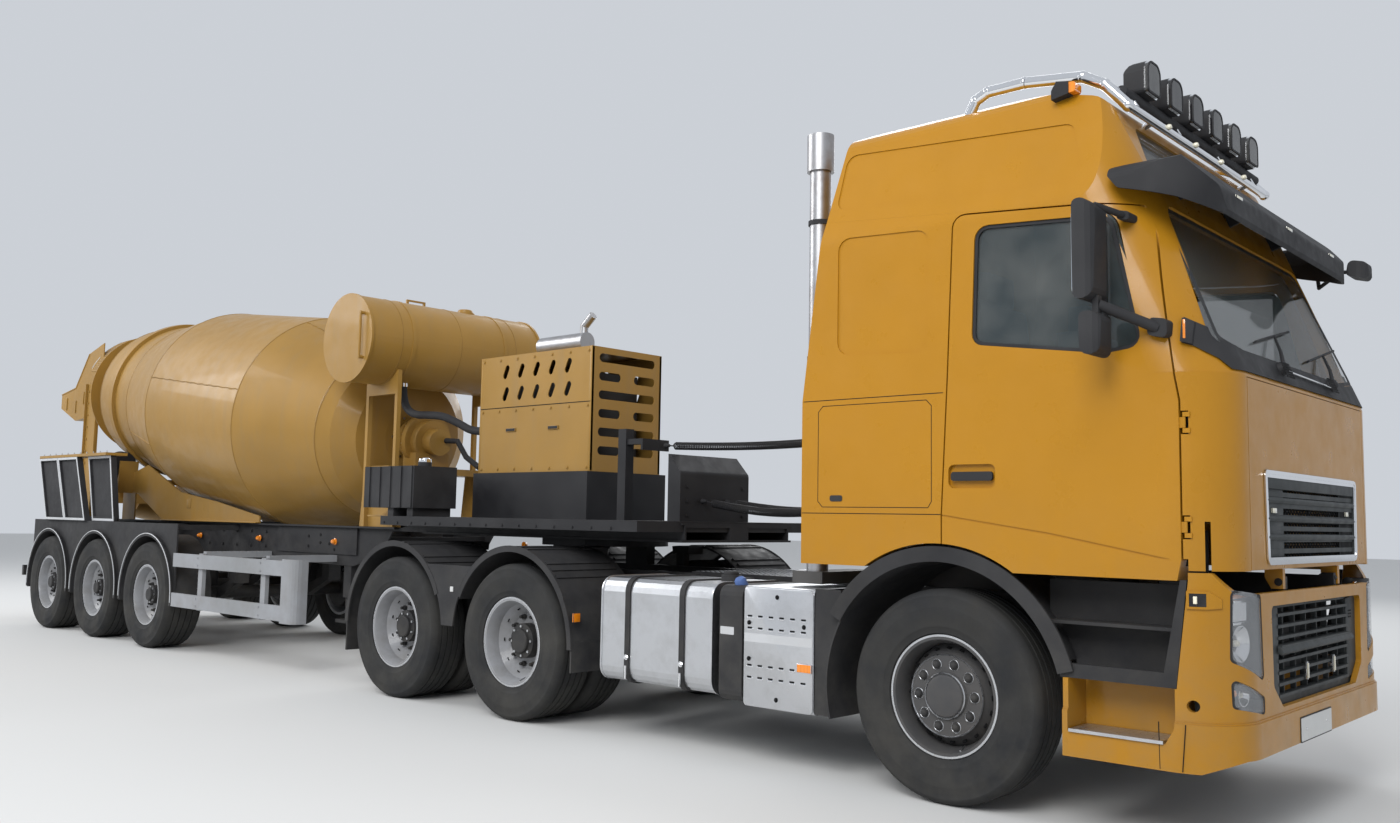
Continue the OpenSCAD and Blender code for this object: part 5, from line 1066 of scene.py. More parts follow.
def make_windscreen():
    band = Fitting("screen_band", "cab", "moulded_black", "slot_dark")
    outer, inner = rounded(inset(SCREEN, 3), 8), rounded(inset(SCREEN, 46), 8)
    band.band(outer, inner, (12.4, 14.1), "x", None, on_screen)
    # Vents of the cowl
    slat = Fitting("slat", None, "slot_dark")
    slat.box((-1, 1.5), (-62, 62), (-4, 4))
    mesh = rows_of(slat, 6, (2.2, 4, -13))
    for y in (-430, 330):
        turn = Matrix.Rotation(math.radians(-8), 4, "Y")
        band.take(mesh, "slot_dark", Matrix.Translation((CAB_FRONT + 8.0, y, 2152)) @ turn)
    band.fit()
    wipers = Fitting("wipers", "cab", "moulded_black", "chrome", "tyre_rubber")
    for y in (-380, 460):
        pivot = on_screen(92, y, -4)
        out = (math.cos(SCREEN_LEAN), 0, math.sin(SCREEN_LEAN))
        wipers.turned([(0, 44), (16, 42), (30, 30), (36, 8), (38, -6), (0, -6)], pivot, out, "moulded_black",
                      24)
        arm = [on_screen(96, y, -26), on_screen(180, y + 60, -30), on_screen(300, y + 190, -6)]
        wipers.tube(arm, lambda t: 11 - 5 * t, None, 8)
        ends = [on_screen(300 + 26 * k, y + 190 + 120 * k,
                          2 - 4 * (1 - abs(k) / 3)) for k in (-3, -1.5, 0, 1.5, 3)]
        wipers.tube(ends, 7, None, 8)
        wipers.tube([p + Vector((-8, 0, -3)) for p in ends], 4, "tyre_rubber", 6)
    wipers.tube([on_screen(86, -350, -18), on_screen(72, 430, -18)], 5, "chrome", 8)
    wipers.fit()
    repeaters = Fitting("side_repeaters", "cab", "amber_lens")
    repeaters.box((1234, 1244), (-1268.5, -1260), (2184, 2266), "amber_lens", 2)
    repeaters.mirrored().fit()
    visor = Fitting("visor_band", "cab", "smoked_glass", "lamp_bulb", "amber_lens")
    for y in (-760, 0, 760):
        visor.box((1308, 1322), (y - 44, y + 44), (2884, 2904), "lamp_bulb", 4)
    visor.fit()


# Sides of the cab
def seam(fitting, points, y, wide=4.0, deep=0.8, finish="slot_dark"):
    """A dark joint line on a side of the cab, drawn in x and z."""
    for (x0, z0), (x1, z1) in zip(points, points[1:]):
        ahead = Vector((x1 - x0, z1 - z0)).normalized() * wide / 2
        rows = [(x0 - ahead.y, z0 + ahead.x), (x1 - ahead.y, z1 + ahead.x), (x1 + ahead.y, z1 - ahead.x),
                (x0 + ahead.y, z0 - ahead.x)]
        fitting.plate(rows, (y - deep, y + 3), "y", finish)


def make_cab_sides():
    seams = Fitting("cab_seams", "cab", "slot_dark", "moulded_black")
    seam(seams, [(-822, 2021), (47, 2021)], -CAB_SIDE)
    seam(seams, [(-826, 1417), (32, 1417)], -CAB_SIDE)
    seam(seams, [(-690, 1450), (-40, 1450), (-20, 1480), (-20, 1960), (-50, 1990), (-690, 1990),
                 (-720, 1960), (-720, 1480), (-690, 1450)], -CAB_SIDE, 3.5)
    seams.plate(rounded(oblong(-640, 1480, -560, 1512, 12)),
                (-CAB_SIDE - 3, -CAB_SIDE + 3), "y", "moulded_black")
    seams.mirrored().fit()
    for side, sign in (("right", 1), ("left", -1)):
        body = "door_" + side
        trim = Fitting("door_trim_" + side, body, "moulded_black", "chrome")
        outer, inner = rounded(inset(WINDOW, 1), 6), rounded(inset(WINDOW, 17), 6)
        trim.band(outer, inner, (-CAB_SIDE + 8, -CAB_SIDE + 17), "y")
        # Quarter bar of the window and the lock
        trim.box((868, 886), (-CAB_SIDE + 9, -CAB_SIDE + 17), (2170, 2790), "moulded_black", 2)
        trim.turned([(0, 0), (11, 0), (13, -3), (13, -6), (0, -6)], (354, -CAB_SIDE + 1, 1604), (0, -1, 0),
                    "chrome", 20)
        trim.on_side(sign).fit()
        glass = Fitting("mirror_glass_" + side, body, "mirror_glass")
        y = -CAB_SIDE - 185
        glass.plate(rounded(oblong(y - 78, 2384, y + 78, 2770, 30)),
                    (846, 853), "x", "mirror_glass")
        glass.plate(rounded(oblong(y - 66, 2134, y + 66, 2282, 24)),
                    (873, 879), "x", "mirror_glass")
        glass.on_side(sign).fit()
    grabs = Fitting("cab_back_details", "cab", "moulded_black")
    grabs.tube([(-838, -1120, 1500), (-872, -1120, 1520), (-872, -1120, 1980), (-838, -1120, 2000)], 13,
               "moulded_black", 12)
    grabs.mirrored().fit()
    # Lamps of the bar: a dark reflector ring in each, with marker lamps on the lower tube
    bar = Fitting("bar_lamps", "cab", "chrome", "lamp_bulb", "moulded_black")
    for i in range(6):
        y = (i - 2.5) * 296
        bar.band(rounded([(y - 80, 3480, 22), (y + 80, 3480, 22), (y + 80, 3644, 54), (y - 80, 3644, 54)], 5),
                 rounded([(y - 70, 3490, 18), (y + 70, 3490, 18), (y + 70, 3634, 46), (y - 70, 3634, 46)], 5),
                 (927, 932), "x", "moulded_black")
    for y in (-560, -190, 190, 560):
        bar.turned([(0, 40), (10, 38), (15, 30), (15, 20), (0, 20)], (905, y, 3362), (1, 0, 0.2), "lamp_bulb",
                   16)
    bar.fit()


# Seats and bunk
def cushion(low, high, crown, channels=(), axis=0):
    """A padded block with crowned faces and sewn channels across it, drawn in millimetres."""
    mesh = bmesh.new()
    low, high = Vector(low), Vector(high)
    size = high - low
    cuts = [max(2, min(26, int(size[i] / 28))) for i in range(3)]
    grid = {}

    def point(i, j, k):
        key = (i, j, k)
        if key not in grid:
            part = Vector((i / cuts[0], j / cuts[1], k / cuts[2]))
            place = Vector([low[n] + size[n] * part[n] for n in range(3)])
            middle_of = (low + high) / 2
            for n in range(3):
                others = [m for m in range(3) if m != n]
                swell = math.prod(1 - (2 * part[m] - 1) ** 4 for m in others)
                if part[n] in (0.0, 1.0):
                    place[n] += crown * swell * (1 if part[n] else -1)
                    for channel in channels:
                        away = abs(part[axis] - channel) * size[axis]
                        groove = crown * 0.8 * math.exp(-(away / 14) ** 2) * (n != axis)
                        place[n] -= (1 if part[n] else -1) * groove
                rim = sum(part[m] in (0.0, 1.0) for m in range(3))
            if rim > 1:
                pull = 10 if rim == 2 else 16
                place += (middle_of - place).normalized() * pull * 0.5
            grid[key] = mesh.verts.new(place)
        return grid[key]

    for n in range(3):
        a, b = [m for m in range(3) if m != n]
        for end in (0, cuts[n]):
            for i in range(cuts[a]):
                for j in range(cuts[b]):
                    corners = []
                    for di, dj in ((0, 0), (1, 0), (1, 1), (0, 1)):
                        key = [0, 0, 0]
                        key[n], key[a], key[b] = end, i + di, j + dj
                        corners.append(point(*key))
                    mesh.faces.new(corners)
    return mesh


def make_seats():
    for side, y in (("driver", -620), ("passenger", 620)):
        parts = (
            ("cushion", (-12, y - 276, 1706), (524, y + 276, 1848), (0.33, 0.66), 0, None),
            ("back", (-16, y - 268, 1850), (146, y + 268, 2548), (0.25, 0.5, 0.75), 2, -0.148),
            ("headrest", (-92, y - 156, 2552), (34, y + 156, 2716), (), 2, None),
        )
        for part, low, high, channels, axis, shear in parts:
            pad = Fitting(f"{side}_seat_{part}", "cab", "seat_cloth")
            pad.mesh = cushion(low, high, 8, channels, axis)
            if shear:
                for vertex in pad.mesh.verts:
                    vertex.co.x += shear * (vertex.co.z - 1850)
            piece = pad.fit(80)
    bunk = Fitting("bunk_mattress", "cab", "seat_cloth")
    bunk.mesh = cushion((-752, -1164, 1944), (-148, 1164, 2078), 9, (0.33, 0.66), 1)
    bunk.fit(80)


# Tractor chassis
def make_chassis():
    cover = Fitting("battery_cover", "tractor", "tank_aluminium", "slot_dark", "edge_white", "amber_lens",
                    "chrome", "cap_blue", "moulded_black")
    y = -1195
    cover.plate(rounded(oblong(-1261, 340, -778, 996, 24)), (y - 6, y + 4), "y",
                "tank_aluminium", 2)
    cover.plate(rounded(oblong(-1257, 694, -782, 742, 4)), (y - 7, y - 4), "y",
                "edge_white")
    slot = Fitting("slot", None, "slot_dark")
    slot.plate(rounded(oblong(-17, -5, 17, 5, 4)), (-0.6, 4), "y")
    louvre = Fitting("louvre", None, "chrome")
    louvre.plate(rounded([(-19, -12, 4), (19, -12, 4), (19, -5, 3), (-19, -5, 3)]), (-3.5, 2), "y", None, 1)
    rows_at = ((-1219, 838), (-1219, 772), (-1219, 566), (-1219, 500))
    slots = rows_of(slot, 6, (75.5, 0, 0))
    lips = rows_of(louvre, 6, (75.5, 0, 0))
    for x, z in rows_at:
        cover.take(slots, "slot_dark", Matrix.Translation((x, y - 6, z)))
        cover.take(lips, "chrome", Matrix.Translation((x, y - 6, z)))
    bolts(cover,
          [(x, y - 6, z) for x, z in ((-1025, 950), (-1225, 800), (-838, 800), (-1225, 600), (-1026, 392))],
          (0, -1, 0), 17, 7, "slot_dark")
    cover.box((-880, -780), (y - 16, y - 5), (556, 606), "amber_lens", 4)
    cover.plate(rounded(oblong(-1448, 720, -1346, 764, 5)), (-1191.2, -1187), "y",
                "edge_white")
    cover.turned([(0, 62), (26, 60), (34, 50), (38, 10), (38, -4), (0, -4)], (-1370, -1090, 985),
                 (0, -0.5, 0.87), "cap_blue", 20)
    cover.mirrored().fit()
    tank = Fitting("tank_bands", "tractor", "tank_aluminium", "chrome", "moulded_black")
    body = [(-1200, 363, 90), (-560, 363, 60), (-560, 1005, 60), (-1200, 1005, 90)]
    for x in (-2440, -1512):
        tank.band(rounded(inset(body, -4), 6), rounded(inset(body, 2), 6), (x, x + 12), "x", "tank_aluminium")
    tank.turned([(0, 26), (40, 24), (46, 16), (46, 0), (0, 0)], (-1620, -900, 1040), (0, 0, 1),
                "moulded_black", 24)
    for x in (-2200, -1740):
        tank.tube([(x, -1216, 300 + 90), (x, -1216, 470)], 9, "chrome", 8)
        bolts(tank, [(x, -1209, 520)], (0, -1, 0), 22, 12, "chrome")
    tank.mirrored().fit()
    # Bolts along the frame, and the tread plate of the catwalk
    rails = Fitting("frame_bolts", "tractor", "chassis_black", "machined")
    pairs = [(x, z) for x in range(-5150, 1100, 205) for z in (800, 950)]
    bolts(rails, [(x, -430, z) for x, z in pairs], (0, -1, 0), 26, 12, "chassis_black")
    bolts(rails, [(x, 430, z) for x, z in pairs], (0, 1, 0), 26, 12, "chassis_black")
    stud = Fitting("stud", None, "machined")
    stud.plate(rounded(oblong(-16, -3, 16, 3, 2), 2), (0, 2.5), "z")
    rails.take(rows_of(stud, 28, (46, 0, 0), 18, (0, 46, 0)), "machined",
               Matrix.Translation((-2350, -400, 1022)))
    rails.fit()
    guards = Fitting("drive_guard_trim", "tractor", "moulded_black", "edge_white", "amber_lens",
                     "plate_white")
    for x in DRIVE_X:
        guards.tube(arch(x, -1259, 645, range(30, 151, 5)), 4, "moulded_black", 6)
    guards.box((-2660, -2648), (-1250, -1190), (700, 760), "amber_lens", 3)
    guards.box((-3965, -3925), (-1262, -1257), (826, 866), "plate_white", 2)
    guards.mirrored().fit()
    rear = Fitting("tractor_rear_lamps", "tractor", "moulded_black", "red_lens", "amber_lens", "lamp_bulb")
    for start, finish in ((-1100, "amber_lens"), (-1000, "red_lens"), (-900, "lamp_bulb")):
        rear.box((-5390, -5370), (start, start + 92), (726, 812), finish, 5)
    rear.box((-5376, -5366), (-1112, -798), (716, 822), "moulded_black", 3)
    rear.mirrored().fit()
    stack = Fitting("stack_trim", "tractor", "stack_steel", "moulded_black")
    for z in (1500, 2300, 3100):
        stack.turned([(62, z), (70, z), (70, z + 26), (62, z + 26)], (-990, -880, 0), (0, 0, 1),
                     "moulded_black", 32, True)
    stack.turned([(0, 3646), (60, 3645), (74, 3640), (74, 3600), (60, 3600)], (-990, -880, 0), (0, 0, 1),
                 "moulded_black", 32)
    stack.fit()


# Trailer
def make_trailer():
    frame_trim = Fitting("trailer_bolts", "trailer", "chassis_black", "amber_lens", "guard_grey", "slot_dark",
                         "machined")
    pairs = [(x, z) for x in range(-12500, -6600, 300) for z in (1040, 1180)]
    bolts(frame_trim, [(x, -BEAM_Y, z) for x, z in pairs], (0, -1, 0), 26, 12, "chassis_black")
    frame_trim.plate([(-7740, 1000), (-6330, 1000), (-6330, 1238), (-7740, 1238)], (-574, -558), "y",
                     "chassis_black")
    for x, z in ((-7162, 1153), (-6949, 1096), (-6790, 1090), (-7162, 1060), (-6703, 1040), (-6949, 1170)):
        frame_trim.turned([(0, 3), (14, 3), (14, -4), (0, -4)], (x, -575, z), (0, -1, 0), "slot_dark", 16)
    for x in (-9388, -6692, -5400, -8100):
        frame_trim.turned([(0, 40), (14, 38), (22, 26), (24, 8), (30, 6), (30, 0), (0, 0)],
                          (x, -BEAM_Y - 14, 1112), (0, -1, 0), "amber_lens", 20)
    frame_trim.mirrored().fit()
    guards = Fitting("trailer_guard_trim", "trailer", "edge_white", "guard_grey", "chassis_black", "red_lens")
    for x in TRAIL_X:
        guards.tube(arch(x, -GUARD_Y + 1, 612, range(-4, 185, 4)), 5, "edge_white", 6)
    for x in (-7900, -6700):
        bolts(guards, [(x - 15, -GUARD_Y, z) for z in (480, 550, 860, 930)], (0, -1, 0), 15, 6, "guard_grey")
    hole = Fitting("hole", None, "chassis_black")
    hole.turned([(0, 1.5), (6, 1.5), (6, -2), (0, -2)], (0, 0, 0), (0, -1, 0), None, 10)
    holes = rows_of(hole, 5, (0, 0, 46))
    for x in (-6750, -7950):
        guards.take(holes, "chassis_black", Matrix.Translation((x, -GUARD_Y + 23, 600)))
    guards.mirrored().fit()
    # Yellow gusset over the neck, and flanges of the side plates
    gusset = Fitting("front_gusset", "trailer", "drum_paint")
    for sign in (-1, 1):
        y0 = sign * 660
        gusset.plate([(-5800, 1350), (-5345, 1350), (-5190, 1428), (-5400, 1610)],
                     sorted((y0, y0 + sign * 12)), "y", "drum_paint", 2)
        gusset.plate([(-5800, 1350), (-5345, 1350), (-5345, 1362), (-5800, 1362)],
                     sorted((y0, y0 + sign * 150)), "y", "drum_paint", 2)
    gusset.fit()
    sheet = Fitting("side_sheet_flanges", "trailer", "drum_paint", "weld")
    foot = [(-8080, 1262), (-10289, 1262)]
    for sign in (-1, 1):
        sheet.box((foot[1][0], foot[0][0]), sorted((sign * 600, sign * 640)), (1260, 1272), "drum_paint", 2)
        sheet.box((-9700, -9610), sorted((sign * 600, sign * 606)), (1400, 1500), "drum_paint", 2)
    sheet.fit()
    # Engine cover: turned edges, hinges and bolts
    cover = Fitting("engine_cover_trim", "trailer", "drum_paint", "machined", "slot_dark", "moulded_black")
    x0, x1 = -4858, -3494
    for x in (x0, x1 - 26):
        for y in (-376.5, 350.5):
            cover.box((x, x + 26), (y, y + 26), (1722, 2672), "drum_paint", 3)
    cover.box((x0 + 8, x1 - 8), (-377, -371), (2246, 2252), "slot_dark")
    cover.box((x0 + 8, x1 - 8), (371, 377), (2246, 2252), "slot_dark")
    for y, out in ((-377, -1), (377, 1)):
        bolts(cover, [(x, y, z) for x in range(x0 + 40, x1, 214) for z in (1750, 2220, 2640)], (0, out, 0),
              17, 6, "drum_paint")
    cover.box((-4500, -4380), (-386, -376), (2050, 2080), "moulded_black", 4)
    cover.box((-3980, -3860), (-386, -376), (2050, 2080), "moulded_black", 4)
    cover.fit()
    tank = Fitting("water_tank_trim", "trailer", "weld", "moulded_black", "chrome", "lamp_glass",
                   "drum_paint")
    x, z = -6036, 2891
    for y in (-620, 0, 620):
        tank.turned([(382, -4), (385, -2), (385, 2), (382, 4)], (x, y, z), (0, 1, 0), "weld", 64, True)
    tank.turned([(0, 40), (60, 38), (70, 30), (74, 8), (90, 6), (90, -8), (0, -8)], (x, 300, z + 380),
                (0, 0, 1), "drum_paint", 32)
    hose = [(x + 110, -420, z - 372), (x + 118, -420, z - 460), (x + 160, -420, z - 560),
            (x + 240, -420, z - 620), (x + 360, -420, z - 650), (x + 520, -420, z - 660),
            (x + 700, -400, z - 680), (x + 860, -360, z - 740), (x + 1000, -330, z - 800),
            (x + 1190, -330, z - 820)]
    tank.tube(smooth_path(hose, 6), 34, "moulded_black", 16)
    for point in (hose[0], hose[-1]):
        tank.turned([(34, -16), (39, -16), (39, 16), (34, 16)], point,
                    (0, 0, 1) if point is hose[0] else (1, 0, 0), "chrome", 24, True)
    tank.fit()
    gearbox = Fitting("gearbox_bolts", "trailer", "drum_paint", "machined", "moulded_black")
    ring = [on_drum(-556, 228, math.radians(a)) for a in range(0, 360, 20)]
    bolts(gearbox, ring, tuple(DRUM_AXIS), 26, 16, "machined")
    gearbox.turned([(190, -470), (204, -466), (204, -440), (190, -436)], DRUM_FOOT, DRUM_AXIS, "drum_paint",
                   48, True)
    gearbox.tube([on_drum(-800, 60, 1.2), on_drum(-960, 90, 1.2), (-5700, 120, 1900), (-5500, 120, 1800)], 26,
                 "moulded_black", 12)
    gearbox.fit()
    diesel = Fitting("diesel_tank_trim", "trailer", "moulded_black", "chrome")
    diesel.turned([(0, 36), (40, 34), (50, 26), (54, 4), (54, -4), (0, -4)], (-5000, -800, 1795), (0, 0, 1),
                  "chrome", 28)
    diesel.fit()
    post = Fitting("service_post_trim", "trailer", "chassis_black", "machined", "cap_blue", "red_lens")
    bolts(post, [(x, -1000, 1305) for x in range(-5250, -2400, 190)], (0, -1, 0), 18, 6, "chassis_black")
    bolts(post, [(-2559, y, z) for y in (-300, 300) for z in (1400, 1500, 1600)], (1, 0, 0), 20, 8,
          "chassis_black")
    post.fit()


def smooth_path(points, steps):
    """A smooth curve through points."""
    points = [Vector(point) for point in points]
    path = []
    for i in range(len(points) - 1):
        p0, p1, p2 = points[max(i - 1, 0)], points[i], points[i + 1]
        p3 = points[min(i + 2, len(points) - 1)]
        for step in range(steps):
            t = step / steps
            path.append(0.5 * (2 * p1 + (p2 - p0) * t + (2 * p0 - 5 * p1 + 4 * p2 - p3) * t * t
                               + (3 * p1 - p0 - 3 * p2 + p3) * t ** 3))
    return path + [points[-1]]


def make_drum_details(settings):
    seams = Fitting("drum_welds", "drum", "weld", "drum_paint", "machined")
    wide, high = settings.weld_width * 500, settings.weld_height * 1000
    for along in (0, 1049, 3029, 3950, 4900):
        radius = drum_radius(along)
        rows = [(radius - 4, -wide), (radius + high * 0.7, -wide * 0.5), (radius + high, 0),
                (radius + high * 0.7, wide * 0.5), (radius - 4, wide)]
        seams.turned([(r, along + t) for r, t in rows], DRUM_FOOT, DRUM_AXIS, "weld", 96, True)
    for along in (5060, 5230):
        radius = drum_radius(along)
        seams.turned([(radius - 8, along - 14), (radius + 16, along - 14), (radius + 12, along + 14),
                      (radius - 22, along + 14)], DRUM_FOOT, DRUM_AXIS, "drum_paint", 96, True)
    for start, end, angle in ((1060, 3020, -1.32), (1060, 3020, 1.9), (10, 1040, -0.4), (3040, 3940, -2.0)):
        path = []
        for i in range(41):
            along = start + (end - start) * i / 40
            path.append(on_drum(along, drum_radius(along) + 1, angle + 0.004 * math.sin(i * 1.7)))
        seams.tube(path, 6, "weld", 6)
    bolts(seams, [on_drum(-338, 205, math.radians(a)) for a in range(0, 360, 30)], tuple(-DRUM_AXIS), 26, 14,
          "machined")
    seams.fit()
    blades = Fitting("drum_blades", "drum", "weld")
    for first in (0.0, math.pi):
        inner, outer = [], []
        for i in range(91):
            along = 2300 + 3100 * i / 90
            angle = first + TAU * 1.75 * i / 90
            shell = drum_radius(along) - 13
            for depth, edge in ((0, outer), (min(260, shell - 330), inner)):
                edge.append((on_drum(along, shell - depth, angle), on_drum(along + 8, shell - depth, angle)))
        blades.strip([[pair[0] for pair in outer], [pair[1] for pair in outer],
                      [pair[1] for pair in inner], [pair[0] for pair in inner]])
    blades.fit()


def make_rear():
    # Perforated guard over the mouth: cells with an opening each, laid round the drum's axis
    cell = Fitting("cell", None, "drum_paint")
    ring_outer = [(-22, -14), (0, -14), (22, -14), (22, 0), (22, 14), (0, 14), (-22, 14), (-22, 0)]
    ring_inner = [(-13, -5), (0, -5.5), (13, -5), (14, 0), (13, 5), (0, 5.5), (-13, 5), (-14, 0)]
    cell.band(ring_outer, ring_inner, (0, 4), "z")
    sheet = rows_of(cell, 30, (44, 0, 0), 8, (0, 28, 0))
    guard = Fitting("mouth_guard", "trailer", "drum_paint", "plate_white", "machined")
    for sign in (-1, 1):
        copy = sheet.copy()
        for vertex in copy.vertices:
            u, v, w = vertex.co
            angle = sign * (0.10 + u / 44 * 0.0375 + 0.02)
            vertex.co = on_drum(5530 + v, 728 - 0.12 * v + w, angle)
        guard.take(copy, "drum_paint")
        for along, radius in ((5512, 728), (5748, 700)):
            path = [on_drum(along, radius, sign * (0.09 + 1.15 * i / 24)) for i in range(25)]
            guard.tube(path, 12, "drum_paint", 8)
        for angle in (0.09, 1.24):
            guard.tube([on_drum(5496, 730, sign * angle), on_drum(5760, 699, sign * angle)], 12, "drum_paint",
                       8)
        # White strips on the ring and below the guard
        for start, stop, radius, along in ((0.62, 0.98, 700, 5507), (1.08, 1.36, 700, 5507),
                                           (0.5, 1.2, 716, 5762)):
            angles = [sign * (start + (stop - start) * i / 14) for i in range(15)]
            points = [on_drum(along, radius, angle) for angle in angles]
            low = [on_drum(along, radius - 46, angle) for angle in angles]
            guard.strip([points, [p + DRUM_AXIS * 4 for p in points], [p + DRUM_AXIS * 4 for p in low], low],
                        "plate_white")
    guard.fit()
    hopper = Fitting("hopper_flanges", "trailer", "drum_paint", "machined")
    for sign in (-1, 1):
        y = sign * 584
        edge = [(-13594, 2862), (-13133, 2924), (-12745, 3334)]
        hopper.tube([(x, y, z) for x, z in edge], 9, "drum_paint", 8)
        for x, z in ((-13400, 2750), (-13100, 2700), (-12850, 2800)):
            hopper.box((x - 6, x + 6), sorted((y, y + sign * 10)), (z - 100, z + 60), "drum_paint", 2)
    hopper.tube([(-13594, -560, 2862), (-13594, 560, 2862)], 9, "drum_paint", 8)
    hopper.fit()
    lamps = Fitting("rear_lamps", "trailer", "moulded_black", "red_lens", "amber_lens", "lamp_bulb",
                    "plate_white")
    for start, finish in ((-1180, "amber_lens"), (-1070, "red_lens"), (-960, "red_lens"),
                          (-850, "lamp_bulb")):
        lamps.turned([(0, 14), (30, 13), (42, 8), (46, 0), (46, -6), (0, -6)], (-12754, start + 48, 620),
                     (-1, 0, 0), finish, 24)
    lamps.box((-12758, -12748), (-1196, -790), (566, 674), "moulded_black", 4)
    lamps.mirrored()
    lamps.plate(rounded(oblong(-260, 572, 260, 668, 8)), (-12755, -12748), "x",
                "plate_white", 1)
    lamps.fit()
    ladder = Fitting("rear_frame_bolts", "trailer", "drum_paint", "machined")
    for sign in (-1, 1):
        bolts(ladder, [(-12500 + dx, sign * 600, z) for dx in (-140, 120) for z in range(1350, 2900, 150)],
              (0, sign, 0), 24, 10, "drum_paint")
        for x in (-12690, -12336):
            ladder.box((x, x + 8), sorted((sign * 600, sign * 630)), (1262, 2945), "drum_paint", 2)
    ladder.fit()
    chutes = Fitting("spare_chute_trim", "trailer", "edge_white", "machined", "drum_paint")
    rows = ((-11900, -11320, -11656, -12223), (-11314, -10734, -11070, -11648),
            (-10680, -10097, -10283, -10905))
    for i, row in enumerate(rows):
        y = -GUARD_Y + 12 + (60 if i == 2 else 0)
        outline = [(row[0], 1243, 0), (row[1], 1243, 0), (row[2], 1953, 0), (row[3], 1953, 0)]
        outer, inner = rounded(inset(outline, 1)), rounded(inset(outline, 26))
        chutes.band(outer, inner, (y - 3, y + 1), "y", "edge_white")
    for x in range(-12160, -10300, 185):
        chutes.tube([(x, -GUARD_Y + 40, 1984), (x, -GUARD_Y + 40, 2006)], 6, "machined", 8)
    chutes.fit()
    chute = Fitting("chute_edges", "chute", "weld", "machined")
    turn = Matrix.Translation((-13000, 190, 1560)) @ Matrix.Rotation(math.radians(-12), 4, "X")
    for x in (-255, 255):
        points = [turn @ Vector((x, y, -20)) for y in (-20, 990)]
        chute.tube(points, 8, "weld", 8)
    chute.fit()


# Camera, floor and light
def make_camera():
    eye = at(3094.3, -6372.0, 1372.0)
    yaw, pitch, roll = math.radians(42.400), math.radians(5.221), math.radians(1.002)
    ahead = Vector((-math.sin(yaw) * math.cos(pitch), math.cos(yaw) * math.cos(pitch), math.sin(pitch)))
    right = Vector((math.cos(yaw), math.sin(yaw), 0))
    up = right.cross(ahead)
    side = math.cos(roll) * right + math.sin(roll) * up
    top = math.cos(roll) * up - math.sin(roll) * right
    data = bpy.data.cameras.new("camera")
    data.sensor_width = 36
    data.lens = 30.38
    data.clip_start = 0.05
    data.clip_end = 300
    camera = bpy.data.objects.new("camera", data)
    bpy.context.scene.collection.objects.link(camera)
    turn = Matrix((side, top, -ahead)).transposed().to_4x4()
    camera.matrix_world = Matrix.Translation(eye) @ turn
    bpy.context.scene.camera = camera


def make_stage(settings):
    make_camera()
    material, _, surface = shader("studio_floor")
    surface.inputs["Base Color"].default_value = (*settings.floor_colour, 1)
    surface.inputs["Roughness"].default_value = 0.9
    mesh = bpy.data.meshes.new("floor")
    mesh.from_pydata([(-60, -60, 0), (60, -60, 0), (60, 60, 0), (-60, 60, 0)], [], [(0, 1, 2, 3)])
    mesh.materials.append(material)
    floor = bpy.data.objects.new("floor", mesh)
    bpy.context.scene.collection.objects.link(floor)
    world = bpy.data.worlds.new("studio")
    world.use_nodes = True
    world.node_tree.nodes["Background"].inputs["Color"].default_value = (0.80, 0.84, 0.90, 1)
    world.node_tree.nodes["Background"].inputs["Strength"].default_value = settings.sky
    bpy.context.scene.world = world
    for name, place, size, power in (("key_light", (9, -14, 12), 9, 2300),
                                     ("fill_light", (-14, -10, 10), 9, 1500),
                                     ("back_light", (-4, 14, 10), 10, 1200)):
        data = bpy.data.lights.new(name, "AREA")
        data.energy = power * settings.lamps
        data.size = size
        light = bpy.data.objects.new(name, data)
        light.location = place
        light.rotation_euler = (Vector((0, 0, 1.5)) - Vector(place)).to_track_quat("-Z", "Y").to_euler()
        bpy.context.scene.collection.objects.link(light)
    bpy.context.scene.view_settings.view_transform = "Standard"


# Settings
class MixerStageSettings(PropertyGroup):
    floor_colour: FloatVectorProperty(name="Floor colour", description="Colour of the studio floor",
                                      subtype="COLOR", default=(0.62, 0.62, 0.61), min=0, max=1)
    sky: FloatProperty(name="Sky", description="Strength of the soft light from all round", default=0.75,
                       min=0, max=2)
    lamps: FloatProperty(name="Lamps", description="Share of the lamps' full power", default=1.0, min=0,
                         max=3)


class MixerFinishSettings(PropertyGroup):
    cab_yellow: FloatVectorProperty(name="Cab yellow", description="Colour of the cab's paint",
                                    subtype="COLOR", default=(0.41, 0.188, 0.010), min=0, max=1)
    drum_yellow: FloatVectorProperty(name="Drum yellow", description="Colour of the mixer's paint",
                                     subtype="COLOR", default=(0.34, 0.190, 0.040), min=0, max=1)
    dust: FloatProperty(name="Dust", description="Most dust near the ground", subtype="FACTOR", default=0.3,
                        min=0, max=1)


class MixerLeadSettings(PropertyGroup):
    wire: FloatProperty(name="Lead", description="Diameter of a lead", unit="LENGTH", default=0.010,
                        min=0.004, max=0.02)
    coil_radius: FloatProperty(name="Coil", description="Radius of the coil's middle line", unit="LENGTH",
                               default=0.024, min=0.015, max=0.05)
    pitch: FloatProperty(name="Pitch", description="Distance between turns", unit="LENGTH", default=0.0165,
                         min=0.011, max=0.05)


class MixerTyreSettings(PropertyGroup):
    groove: FloatProperty(name="Groove", description="Depth of the tread's grooves", unit="LENGTH",
                          default=0.011, min=0.002, max=0.02)
    lugs: IntProperty(name="Lugs", description="Lugs round each shoulder", default=60, min=20, max=90)


